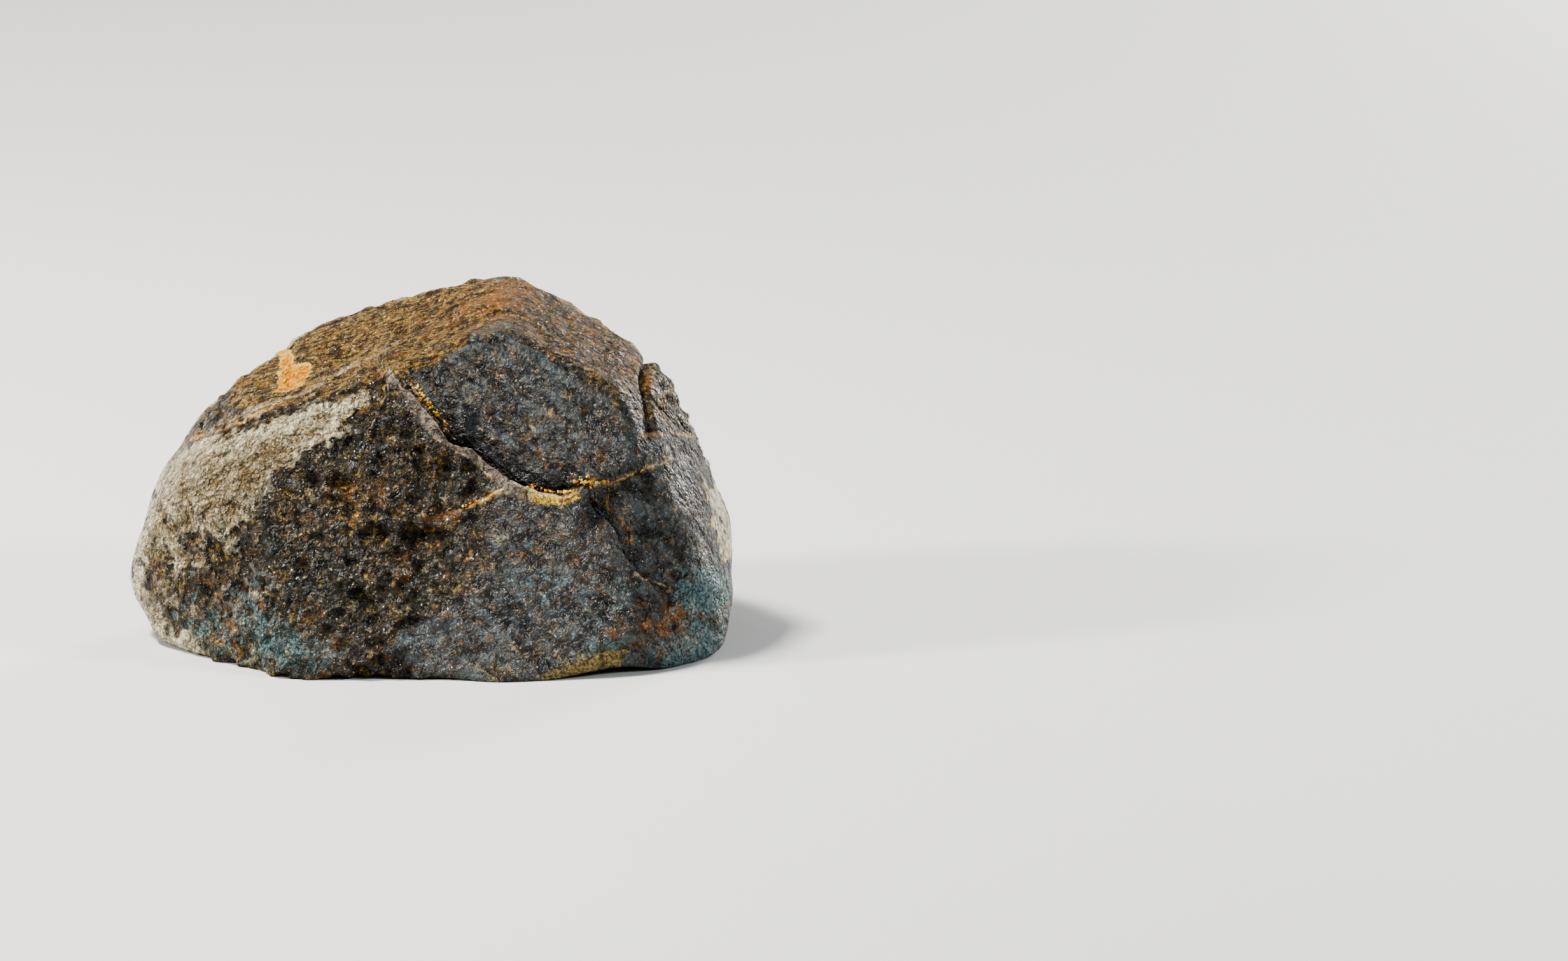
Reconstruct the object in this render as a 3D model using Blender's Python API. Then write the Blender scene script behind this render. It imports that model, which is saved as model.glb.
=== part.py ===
"""A meteorite fragment: one solid stone, 150 mm long, that rests on the flat of its underside.

Everything is in metres. +Z is up, -Y is the front and +X is the right-hand end seen from the front.
The stone starts as a block of broad faces whose edges are rounded together, as flight and weather
leave them. Hollows, swellings, cracks and lumps are then pressed into that block, and the underside
is taken off level where the stone rests.
"""

import math

import bpy
import bmesh
import numpy as np
from mathutils import Vector, noise

# The stone as a whole
NODE_NAME = "meteorite"
MIDDLE = np.array((0.0, 0.004, 0.034))  # the point that every face's reach is measured from
BLOCK_SIZE = (0.150, 0.094, 0.088)  # the box that the net is laid out on
EDGE_SHARPNESS = 28  # higher numbers leave tighter edges between the broad faces
CELL = 0.0009  # spacing of the fine net that the relief is pressed into
TRIANGLES = 9400  # what the finished stone is reduced to

# Each broad face: bearing it looks along (degrees from +X, anticlockwise seen from above),
# tilt above the horizon (degrees) and reach from the middle to the face
FACES = {
    "top, left half": (200, 69, 0.0384),
    "top, right of the peak": (-17, 67, 0.0508),
    "top, far right": (-19, 54, 0.0592),
    "right shoulder, crest": (-6, 42, 0.0668),
    "left shoulder, high": (195, 47, 0.0493),
    "left shoulder, low": (188, 30, 0.0611),
    "left end": (180, 13, 0.0712),
    "left end, underneath": (180, -41, 0.0735),
    "right shoulder, high": (-32, 32, 0.0594),
    "right shoulder, low": (-22, 20, 0.0618),
    "right end": (-6, 2, 0.0768),
    "right end, cut away underneath": (21, -34, 0.0700),
    "right end, back corner": (40, -24, 0.0730),
    "right foot, outer side": (-30, -32, 0.0795),
    "front, right": (-55, 13, 0.0512),
    "front, middle": (-81, 19, 0.0347),
    "front, high": (-93, 30, 0.0300),
    "front, low": (-93, 17, 0.0294),
    "front shoulder, pale": (-128, 52, 0.0376),
    "front, left": (-132, 4, 0.0495),
    "front, underneath": (-90, -37, 0.0540),
    "back, high": (84, 47, 0.0590),
    "back": (90, 2, 0.0445),
    "back, right": (58, 19, 0.0550),
    "back, far right": (32, 18, 0.0614),
    "back, left": (128, 5, 0.0520),
    "back, underneath": (90, -37, 0.0536),
    "underside": (0, -90, 0.0344),
}

# The flat that the stone rests on: a round patch about the origin, free of relief
REST_RADIUS = 0.019
REST_FADE = 0.008

# Places on the front and the back are read off a drawing of that side, as the eye sees it from
# a little above the horizon: right of the origin and up from it. Places on top are X and Y.
EYE_HEIGHT = math.radians(15)

# Hollows and swellings: side, right, up, half-width, half-height, turn (degrees) and height
SWELLINGS = {
    "hollow beside the fork": ("front", 0.0425, 0.0330, 0.0050, 0.0042, 0, -0.0022),
    "hollow down the right branch": ("front", 0.0500, 0.0235, 0.0036, 0.0100, 32, -0.0020),
    "scoop below the ridge": ("front", -0.0140, 0.0490, 0.0085, 0.0075, 30, -0.0016),
    "scoop, left": ("front", -0.0265, 0.0340, 0.0080, 0.0065, 40, -0.0012),
    "scoop, middle": ("front", -0.0020, 0.0235, 0.0110, 0.0070, 35, -0.0010),
    "rib above the toe": ("front", 0.0040, 0.0080, 0.0120, 0.0030, -8, 0.0006),
    "hollow above the toe": ("front", 0.0120, 0.0010, 0.0130, 0.0050, 4, -0.0012),
    "toe": ("front", 0.0190, -0.0100, 0.0130, 0.0050, 0, 0.0026),
    "arch beside the toe": ("front", 0.0460, -0.0075, 0.0095, 0.0050, 0, -0.0030),
    "right foot": ("front", 0.0600, -0.0040, 0.0080, 0.0060, 10, 0.0018),
    "arch, left of the toe": ("front", -0.0180, -0.0085, 0.0130, 0.0040, 0, -0.0022),
    "left heel": ("front", -0.0350, -0.0070, 0.0100, 0.0050, 0, 0.0018),
    "scar on the left end": ("front", -0.0635, 0.0205, 0.0042, 0.0042, 0, -0.0012),
    "waist above the right foot": ("front", 0.0760, 0.0195, 0.0070, 0.0040, 0, -0.0014),
    "right edge, chipped": ("front", 0.0705, 0.0370, 0.0040, 0.0100, 10, 0.0012),
    "upper slab, hollow": ("front", 0.0130, 0.0560, 0.0110, 0.0050, -40, -0.0009),
    "upper slab, swelling": ("front", 0.0330, 0.0560, 0.0090, 0.0070, -30, 0.0008),
    "back heel": ("back", -0.0550, -0.0085, 0.0060, 0.0060, 10, 0.0058),
    "back notch": ("back", -0.0430, -0.0110, 0.0040, 0.0050, 0, -0.0044),
    "back plate": ("back", -0.0060, 0.0160, 0.0130, 0.0100, 0, 0.0014),
    "back, hollow above the plate": ("back", -0.0050, 0.0370, 0.0160, 0.0055, -4, -0.0014),
    "back, hollow beside the plate": ("back", 0.0270, 0.0210, 0.0085, 0.0065, 20, -0.0016),
    "back, hollow, upper": ("back", 0.0060, 0.0530, 0.0120, 0.0065, -25, -0.0012),
    "back, swelling, right": ("back", 0.0520, 0.0280, 0.0140, 0.0160, 0, 0.0012),
    "back, swelling, left": ("back", -0.0330, 0.0520, 0.0150, 0.0120, 30, 0.0012),
    "top, brow": ("top", 0.0080, -0.0020, 0.0100, 0.0080, 0, 0.0022),
    "top, trough": ("top", -0.0180, 0.0190, 0.0200, 0.0060, 5, -0.0010),
    "top, swelling": ("top", -0.0300, 0.0340, 0.0130, 0.0080, 0, 0.0010),
}

# Cracks: side, half-width, depth, how proud the left and the right of the route stand, the
# distance over which that fades, and the route's points (right, up)
CRACKS = {
    "front, main": (
        "front", 0.0012, 0.0017, -0.0028, 0.0007, 0.0120,
        ((-0.0087, 0.0650), (-0.0044, 0.0613), (-0.0015, 0.0578), (0.0014, 0.0539),
         (0.0037, 0.0509), (0.0102, 0.0476), (0.0160, 0.0432), (0.0209, 0.0393),
         (0.0287, 0.0365), (0.0322, 0.0358), (0.0351, 0.0373), (0.0374, 0.0389)),
    ),
    "front, right branch": (
        "front", 0.0012, 0.0013, -0.0015, 0.0004, 0.0080,
        ((0.0374, 0.0389), (0.0394, 0.0350), (0.0446, 0.0295), (0.0472, 0.0256),
         (0.0481, 0.0217), (0.0501, 0.0188), (0.0540, 0.0143), (0.0579, 0.0116)),
    ),
    "front, upper branch": (
        "front", 0.0010, 0.0006, 0.0003, -0.0003, 0.0060,
        ((0.0374, 0.0389), (0.0413, 0.0393), (0.0452, 0.0393), (0.0481, 0.0402),
         (0.0540, 0.0418)),
    ),
    "front, left vein": (
        "front", 0.0010, 0.0004, 0.0003, -0.0004, 0.0060,
        ((0.0199, 0.0402), (0.0170, 0.0377), (0.0141, 0.0358), (0.0102, 0.0340),
         (0.0063, 0.0324)),
    ),
    "front, ridge under the chipped edge": (
        "front", 0.0012, 0.0006, -0.0008, 0.0004, 0.0050,
        ((0.0532, 0.0681), (0.0516, 0.0654), (0.0521, 0.0629), (0.0540, 0.0597),
         (0.0575, 0.0560), (0.0610, 0.0525), (0.0645, 0.0505)),
    ),
    "top, over the right shoulder": (
        "top", 0.0014, 0.0018, 0.0003, 0.0012, 0.0090,
        ((0.0540, -0.0120), (0.0532, -0.0020), (0.0530, 0.0080), (0.0540, 0.0180),
         (0.0560, 0.0270), (0.0575, 0.0340)),
    ),
    "back, main": (
        "back", 0.0013, 0.0019, 0.0006, -0.0008, 0.0090,
        ((-0.0569, 0.0530), (-0.0565, 0.0495), (-0.0549, 0.0417), (-0.0528, 0.0349),
         (-0.0504, 0.0291), (-0.0489, 0.0265), (-0.0466, 0.0252), (-0.0407, 0.0232),
         (-0.0325, 0.0209), (-0.0300, 0.0193), (-0.0271, 0.0174), (-0.0246, 0.0151),
         (-0.0228, 0.0119), (-0.0209, 0.0082), (-0.0193, 0.0053), (-0.0154, 0.0005),
         (-0.0139, -0.0060), (-0.0131, -0.0095)),
    ),
    "back, rim above the cut": (
        "back", 0.0012, 0.0004, 0.0006, -0.0017, 0.0100,
        ((-0.0740, 0.0160), (-0.0680, 0.0105), (-0.0600, 0.0045), (-0.0520, -0.0012),
         (-0.0460, -0.0060), (-0.0405, -0.0095)),
    ),
    "back, arc": (
        "back", 0.0014, 0.0008, -0.0007, 0.0009, 0.0080,
        ((-0.0325, 0.0213), (-0.0310, 0.0242), (-0.0281, 0.0267), (-0.0242, 0.0287),
         (-0.0144, 0.0308), (-0.0028, 0.0304), (0.0070, 0.0287), (0.0122, 0.0261),
         (0.0152, 0.0213), (0.0158, 0.0135), (0.0160, 0.0077), (0.0166, 0.0028)),
    ),
}

# Lumps all over: size of a lump and its height, coarse to fine
LUMPS = ((0.0220, 0.0012), (0.0100, 0.0009))
DIMPLE_SIZE = 0.0085  # thumbprint hollows on the rough faces
DIMPLE_DEPTH = 0.0013
NOISE_ORIGIN = Vector((3.1, 7.7, 1.9))  # where in the endless noise this stone is cut from


def view_axes(side):
    """The drawing's right, up and towards-the-eye directions for the front, back or top."""
    if side == "top":
        return np.eye(3)
    sign = 1.0 if side == "front" else -1.0
    sine, cosine = math.sin(EYE_HEIGHT), math.cos(EYE_HEIGHT)
    return np.array(((sign, 0, 0), (0, sign * sine, cosine), (0, -sign * cosine, sine)))


def smooth_step(low, high, values):
    """0 below low, 1 above high, and an S-curve between."""
    t = np.clip((values - low) / (high - low), 0.0, 1.0)
    return t * t * (3.0 - 2.0 * t)


def on_side(points, side):
    """Each point's place on that side's drawing, and how surely it belongs to the side (0 to 1)."""
    right, up, towards = view_axes(side)
    places = np.stack((points @ right, points @ up), axis=1)
    middle = 0.045 if side == "top" else MIDDLE @ towards
    return places, smooth_step(0.0, 0.012, points @ towards - middle)


def block_shell():
    """A closed box-shaped net about the middle, with square cells of one size, as a bmesh."""
    net = bmesh.new()
    bmesh.ops.create_cube(net, size=1.0)
    for axis, size in enumerate(BLOCK_SIZE):
        along = [
            edge
            for edge in net.edges
            if abs((edge.verts[0].co - edge.verts[1].co)[axis]) > CELL
        ]
        bmesh.ops.subdivide_edges(net, edges=along, cuts=round(size / CELL) - 1)
    bmesh.ops.scale(net, vec=Vector(BLOCK_SIZE), verts=net.verts)
    return net


def rounded_block(directions):
    """Distance from the middle to the rounded block of broad faces, along each direction."""
    total = np.zeros(len(directions))
    for bearing, tilt, reach in FACES.values():
        b, t = math.radians(bearing), math.radians(tilt)
        normal = (math.cos(b) * math.cos(t), math.sin(b) * math.cos(t), math.sin(t))
        total += np.maximum(directions @ np.array(normal) / reach, 0.0) ** EDGE_SHARPNESS
    return total ** (-1.0 / EDGE_SHARPNESS)


def swellings(points):
    """Height that the hollows and swellings add at each point."""
    height = np.zeros(len(points))
    for side, right, up, half_width, half_height, turn, rise in SWELLINGS.values():
        places, belongs = on_side(points, side)
        offset = places - (right, up)
        angle = math.radians(turn)
        along = offset @ (math.cos(angle), math.sin(angle)) / half_width
        across = offset @ (-math.sin(angle), math.cos(angle)) / half_height
        height += rise * belongs * np.exp(-(along**2 + across**2))
    return height


def smooth_route(corners, steps=6):
    """A Catmull-Rom curve through the corners, with that many steps between two of them."""
    corners = np.array(corners)
    ends = (2 * corners[0] - corners[1], 2 * corners[-1] - corners[-2])
    padded = np.vstack((ends[0], corners, ends[1]))
    route = []
    for a, b, c, d in zip(padded, padded[1:], padded[2:], padded[3:]):
        for t in np.arange(steps) / steps:
            bend = (2 * a - 5 * b + 4 * c - d) * t**2 + (3 * b - a - 3 * c + d) * t**3
            route.append(0.5 * (2 * b + (c - a) * t + bend))
    return np.array(route + [corners[-1]])


def beside_route(places, route):
    """Distance to the route, positive on its left, and how far along it (0 to 1), per place."""
    nearest = np.full(len(places), np.inf)
    signed = np.zeros(len(places))
    along = np.zeros(len(places))
    count = len(route) - 1
    for i, (a, b) in enumerate(zip(route, route[1:])):
        run = b - a
        t = np.clip((places - a) @ run / (run @ run), 0.0, 1.0)
        off = places - (a + t[:, None] * run)
        distance = np.hypot(off[:, 0], off[:, 1])
        closer = distance < nearest
        left = np.sign(run[0] * (places - a)[:, 1] - run[1] * (places - a)[:, 0])
        nearest = np.where(closer, distance, nearest)
        signed = np.where(closer, distance * left, signed)
        along = np.where(closer, (i + t) / count, along)
    return signed, along


def cracks(points):
    """Height that the cracks add: a groove along each, and a step where its sides parted."""
    height = np.zeros(len(points))
    for side, half_width, depth, left_rise, right_rise, fade, corners in CRACKS.values():
        places, belongs = on_side(points, side)
        signed, along = beside_route(places, smooth_route(corners))
        distance = np.abs(signed)
        ends = smooth_step(0.0, 0.08, along) * smooth_step(0.0, 0.08, 1.0 - along)
        open_here = 0.35 + 0.65 * ends
        groove = -depth * np.exp(-((distance / half_width) ** 2))
        on_left = smooth_step(-half_width / 2, half_width / 2, signed)
        rise = left_rise * on_left + right_rise * (1.0 - on_left)
        height += belongs * ends * rise * np.exp(-distance / fade)
        height += belongs * open_here * groove
    return height


def lumps(points):
    """Height that the all-over lumps and the thumbprint hollows add at each point."""
    front, on_front = on_side(points, "front")
    back, on_back = on_side(points, "back")
    rough_front = on_front * smooth_step(0.020, -0.002, front[:, 0] - 0.3 * front[:, 1] + 0.010)
    rough_back = on_back * smooth_step(0.066, 0.048, back[:, 0])
    rough = np.maximum(rough_front, rough_back)
    height = np.zeros(len(points))
    for i, point in enumerate(points):
        place = Vector(point)
        for size, rise in LUMPS:
            height[i] += rise * noise.noise(place / size + NOISE_ORIGIN)
        if rough[i] > 0.0:
            cells = noise.voronoi(place / DIMPLE_SIZE + NOISE_ORIGIN)[0]
            height[i] -= rough[i] * DIMPLE_DEPTH * max(0.0, 0.55 - cells[0])
    return height


def off_the_rest(points):
    """0 on the flat that the stone rests on, 1 away from it."""
    distance = np.hypot(points[:, 0], points[:, 1])
    away = smooth_step(REST_RADIUS, REST_RADIUS + REST_FADE, distance)
    return np.maximum(away, smooth_step(0.002, 0.006, points[:, 2]))


def stone():
    """The finished stone, as one closed mesh."""
    net = block_shell()
    corners = np.array([v.co for v in net.verts])
    directions = corners / np.linalg.norm(corners, axis=1)[:, None]
    block = MIDDLE + directions * rounded_block(directions)[:, None]
    height = swellings(block) + cracks(block) + lumps(block)
    points = block + directions * (height * off_the_rest(block))[:, None]
    for vertex, point in zip(net.verts, points):
        vertex.co = point
    bmesh.ops.triangulate(net, faces=net.faces)
    fine = bpy.data.meshes.new("fine net")
    net.to_mesh(fine)
    net.free()
    made = bpy.data.objects.new(NODE_NAME, fine)
    bpy.context.scene.collection.objects.link(made)
    fewer = made.modifiers.new("fewer triangles", "DECIMATE")
    fewer.ratio = TRIANGLES / len(fine.polygons)
    reduced = bpy.data.meshes.new_from_object(
        made.evaluated_get(bpy.context.evaluated_depsgraph_get())
    )
    made.modifiers.remove(fewer)
    made.data = reduced
    bpy.data.meshes.remove(fine)
    reduced.name = NODE_NAME
    for vertex in reduced.vertices:
        vertex.co.z = max(vertex.co.z, 0.0)
    reduced.shade_smooth()
    return made


def weathered_stone():
    """The stone's material: dark brown-grey crust with a dull sheen."""
    material = bpy.data.materials.new("weathered stone")
    material.use_nodes = True
    shader = material.node_tree.nodes["Principled BSDF"]
    shader.inputs["Base Color"].default_value = (0.085, 0.070, 0.055, 1.0)
    shader.inputs["Roughness"].default_value = 0.55
    shader.inputs["Metallic"].default_value = 0.0
    return material


def main():
    for old in list(bpy.data.objects):
        bpy.data.objects.remove(old)
    stone().data.materials.append(weathered_stone())


main()
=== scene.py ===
# %% [markdown]
# A meteorite fragment
#
# The stone is one natural body, 150 mm long, with a brown sloping top, a pale crackled shoulder, a dark
# pitted front, a blue-grey slab that has slipped back beside a branching crack, and a paler back.
# It could be sculpted by hand or bought as a scan. Here it is worked out from a few dozen plain numbers:
# broad faces, hollows, cracks and patches of colour, each placed where the stone has it. That way every
# form can be moved on its own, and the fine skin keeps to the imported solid.

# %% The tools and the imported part
import math

import bpy
import bmesh
import numpy as np
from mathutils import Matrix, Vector, noise
from mathutils.bvhtree import BVHTree


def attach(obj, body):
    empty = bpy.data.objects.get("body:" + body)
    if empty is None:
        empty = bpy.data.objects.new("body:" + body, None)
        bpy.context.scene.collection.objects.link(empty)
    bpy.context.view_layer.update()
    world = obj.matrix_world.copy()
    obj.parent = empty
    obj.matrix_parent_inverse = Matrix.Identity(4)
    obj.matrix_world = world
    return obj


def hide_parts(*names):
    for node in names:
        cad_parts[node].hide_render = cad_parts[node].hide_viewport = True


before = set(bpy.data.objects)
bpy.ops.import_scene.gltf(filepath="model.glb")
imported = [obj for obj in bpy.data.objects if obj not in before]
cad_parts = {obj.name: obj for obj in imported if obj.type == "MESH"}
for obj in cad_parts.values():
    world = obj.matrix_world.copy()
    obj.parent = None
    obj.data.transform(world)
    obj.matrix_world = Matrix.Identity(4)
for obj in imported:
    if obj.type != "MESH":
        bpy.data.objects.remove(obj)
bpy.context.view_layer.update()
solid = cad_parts["meteorite"]
MM = 0.001  # the frame is in metres; tables, heights and drawings are in mm

# %% [markdown]
# The camera
#
# The stone was photographed from the front, with the eye about 15 degrees above the table, through a
# long lens. One pixel of that picture covers 0.158 mm at the stone, and the stone stands left of the
# middle. A lens shift could move it there. Turning the camera a little does the same and leaves the
# shift at zero, so that every other view stays centred.

# %% The camera
EYE_HEIGHT = math.radians(15)
PICTURE_SIZE = (2464, 1510)
PIXEL = 0.158 * MM
STONE_PIXEL = (681.0, 747.5)  # where the middle of the stone falls in the picture
STONE_MIDDLE = Vector((0.0, 0.0040, 0.0402))
LENS, SENSOR = 200.0, 36.0  # mm, as on a camera

eye_right = Vector((1.0, 0.0, 0.0))
eye_up = Vector((0.0, math.sin(EYE_HEIGHT), math.cos(EYE_HEIGHT)))
eye_back = Vector((0.0, -math.cos(EYE_HEIGHT), math.sin(EYE_HEIGHT)))
distance = LENS / SENSOR * PICTURE_SIZE[0] * PIXEL
aim_right = (PICTURE_SIZE[0] / 2 - STONE_PIXEL[0]) * PIXEL
aim_up = (STONE_PIXEL[1] - PICTURE_SIZE[1] / 2) * PIXEL


def placed(name, data):
    """A new object of the scene that shows the data."""
    made = bpy.data.objects.new(name, data)
    bpy.context.scene.collection.objects.link(made)
    return made


def look_from(thing, place, target):
    """Puts a lamp or a camera at a place and points it at the target."""
    thing.location = place
    thing.rotation_euler = (Vector(place) - target).to_track_quat("Z", "Y").to_euler()


camera = placed("camera", bpy.data.cameras.new("camera"))
camera.data.lens = LENS
camera.data.sensor_width = SENSOR
aim = STONE_MIDDLE + eye_right * aim_right + eye_up * aim_up
look_from(camera, STONE_MIDDLE + eye_back * distance, aim)
bpy.context.scene.camera = camera
print(f"camera {distance:.3f} m from the stone")

# %% [markdown]
# The table and the light
#
# Dark stone shows its form by the glints on its crust. One wide lamp would wash them out, so five
# narrow soft ones stand about a metre away: above and at the left for the top and the front, a weaker
# one at the right, one behind for the crest and one low behind for the pale shoulder. The pale table
# throws light back up under the stone.

# %% The table and the light
TABLE_HALF, TABLE_TONE = 4.0, (0.66, 0.66, 0.65, 1.0)
SKY_TONE, SKY_STRENGTH = (0.9, 0.92, 0.95, 1.0), 0.16
WARM, COOL, PLAIN = (1.0, 0.97, 0.93), (0.92, 0.96, 1.0), (1.0, 0.98, 0.95)
# lamp: place and width (m), watts, colour
LAMPS = {
    "lamp above": ((-0.50, 0.05, 1.10), 0.18, 17.0, WARM),
    "lamp left": ((-1.20, -0.20, 0.60), 0.16, 14.0, WARM),
    "lamp right": ((1.15, -0.40, 0.75), 0.30, 8.0, COOL),
    "lamp behind": ((0.90, 1.10, 0.40), 0.40, 12.0, PLAIN),
    "lamp for the shoulder": ((-0.80, 1.25, 0.30), 0.20, 2.5, WARM),
}

table_mesh = bpy.data.meshes.new("table")
corners = [(x * TABLE_HALF, y * TABLE_HALF, 0.0) for x, y in ((-1, -1), (1, -1), (1, 1), (-1, 1))]
table_mesh.from_pydata(corners, [], [(0, 1, 2, 3)])
table = placed("table", table_mesh)
paint = bpy.data.materials.new("pale table")
paint.use_nodes = True
matt = paint.node_tree.nodes["Principled BSDF"]
matt.inputs["Base Color"].default_value = TABLE_TONE
matt.inputs["Roughness"].default_value = 0.7
table_mesh.materials.append(paint)

for name, (place, width, watts, colour) in LAMPS.items():
    lamp = placed(name, bpy.data.lights.new(name, "AREA"))
    look_from(lamp, place, STONE_MIDDLE)
    lamp.data.size = width
    lamp.data.energy = watts
    lamp.data.color = colour

surroundings = bpy.data.worlds.new("studio")
surroundings.use_nodes = True
sky = surroundings.node_tree.nodes["Background"]
sky.inputs["Color"].default_value = SKY_TONE
sky.inputs["Strength"].default_value = SKY_STRENGTH
bpy.context.scene.world = surroundings
bpy.context.scene.view_settings.look = "AgX - High Contrast"
print(len(LAMPS), "lamps")

# %% [markdown]
# The stone's broad faces
#
# A broken stone is a block of broad faces whose edges have been rounded together. Each face is given by
# the way it looks and by its reach from one point inside. A metaball or a remesh of planes could round
# them. A power mean of the reaches does it in one line: the higher the power, the tighter the edges.

# %% The broad faces
MIDDLE = np.array((0.0, 0.004, 0.034))  # the point that every face's reach is measured from
EDGE_SHARPNESS = 28

# face: bearing it looks along (degrees from +X, anticlockwise seen from above), tilt above the
# horizon (degrees) and reach from the middle to the face (mm)
FACES = {
    "top, left half": (200, 69, 38.4),
    "top, right of the peak": (-17, 67, 50.8),
    "top, far right": (-19, 54, 59.2),
    "right shoulder, crest": (-6, 42, 66.8),
    "left shoulder, high": (195, 47, 49.3),
    "left shoulder, low": (188, 30, 61.1),
    "left end": (180, 13, 71.2),
    "left end, underneath": (180, -41, 73.5),
    "right shoulder, high": (-32, 32, 59.4),
    "right shoulder, low": (-22, 20, 61.8),
    "right end": (-6, 2, 76.8),
    "right end, cut away underneath": (21, -34, 70),
    "right end, back corner": (40, -24, 73),
    "right foot, outer side": (-30, -32, 79.5),
    "front, right": (-55, 13, 51.2),
    "front, middle": (-81, 19, 34.7),
    "front, high": (-93, 30, 30),
    "front, low": (-93, 17, 29.4),
    "front shoulder, pale": (-128, 52, 37.6),
    "front, left": (-132, 4, 49.5),
    "front, underneath": (-90, -37, 54),
    "back, high": (84, 47, 59),
    "back": (90, 2, 44.5),
    "back, right": (58, 19, 55),
    "back, far right": (32, 18, 61.4),
    "back, left": (128, 5, 52),
    "back, underneath": (90, -37, 53.6),
    "underside": (0, -90, 34.4),
}


def looks_along(bearing, tilt):
    """The direction that a face with that bearing and tilt looks along."""
    b, t = math.radians(bearing), math.radians(tilt)
    return np.array((math.cos(b) * math.cos(t), math.sin(b) * math.cos(t), math.sin(t)))


def rounded_block(directions):
    """Distance in m from the middle to the rounded block, and each face's share in it, per direction."""
    shares = {}
    total = np.zeros(len(directions))
    for name, (bearing, tilt, reach) in FACES.items():
        ahead = directions @ looks_along(bearing, tilt)
        shares[name] = np.maximum(ahead / (reach * MM), 0.0) ** EDGE_SHARPNESS
        total += shares[name]
    return total ** (-1.0 / EDGE_SHARPNESS), {name: part / total for name, part in shares.items()}


def block_normals(shares):
    """The way the rounded block looks at each point, from the shares of its faces there."""
    normals = sum(
        shares[name][:, None] * looks_along(bearing, tilt) / reach
        for name, (bearing, tilt, reach) in FACES.items()
    )
    return normals / np.linalg.norm(normals, axis=1)[:, None]


print(len(FACES), "broad faces")

# %% [markdown]
# Drawings of the sides
#
# What lies on the front is placed on a drawing of the front, as the eye sees it from 15 degrees above
# the table: so many mm right of the origin and so many up from it. The back has its own drawing,
# mirrored, and the top is drawn in plan. A point belongs to the front or the back by which half of the
# stone it is on.

# %% The drawings
TOP_LEVEL = 45 * MM  # what is drawn on the top lies above this
SIDE_FADE = 12 * MM  # how far one side's forms take to fade in


def view_axes(side):
    """The drawing's right, up and towards-the-eye directions for the front, back or top."""
    if side == "top":
        return np.eye(3)
    sign = 1.0 if side == "front" else -1.0
    sine, cosine = math.sin(EYE_HEIGHT), math.cos(EYE_HEIGHT)
    return np.array(((sign, 0, 0), (0, sign * sine, cosine), (0, -sign * cosine, sine)))


def smooth_step(low, high, values):
    """0 below low, 1 above high, and an S-curve between; low may be the higher one."""
    t = np.clip((values - low) / (high - low), 0.0, 1.0)
    return t * t * (3.0 - 2.0 * t)


def on_side(points, side):
    """Each point's place on that side's drawing, and how surely it belongs to the side (0 to 1)."""
    right, up, towards = view_axes(side)
    places = np.stack((points @ right, points @ up), axis=1) / MM
    middle = TOP_LEVEL if side == "top" else MIDDLE @ towards
    return places, smooth_step(0.0, SIDE_FADE, points @ towards - middle)


def oval(places, right, up, half_width, half_height, turn):
    """1 in the middle of a round or oval spot on a drawing, fading to 0 outwards."""
    offset = places - (right, up)
    angle = math.radians(turn)
    along = offset @ (math.cos(angle), math.sin(angle)) / half_width
    across = offset @ (-math.sin(angle), math.cos(angle)) / half_height
    return np.exp(-(along**2 + across**2))


# %% [markdown]
# Hollows and swellings
#
# Between its broad faces and its grain a stone has forms a few millimetres high: scoops where flakes
# came off, a toe, a heel, arches along the lower edge. Sculpt strokes would make them. A list of round
# or oval bumps does the same, each with its place, its half-widths, its turn and its height.

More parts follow.
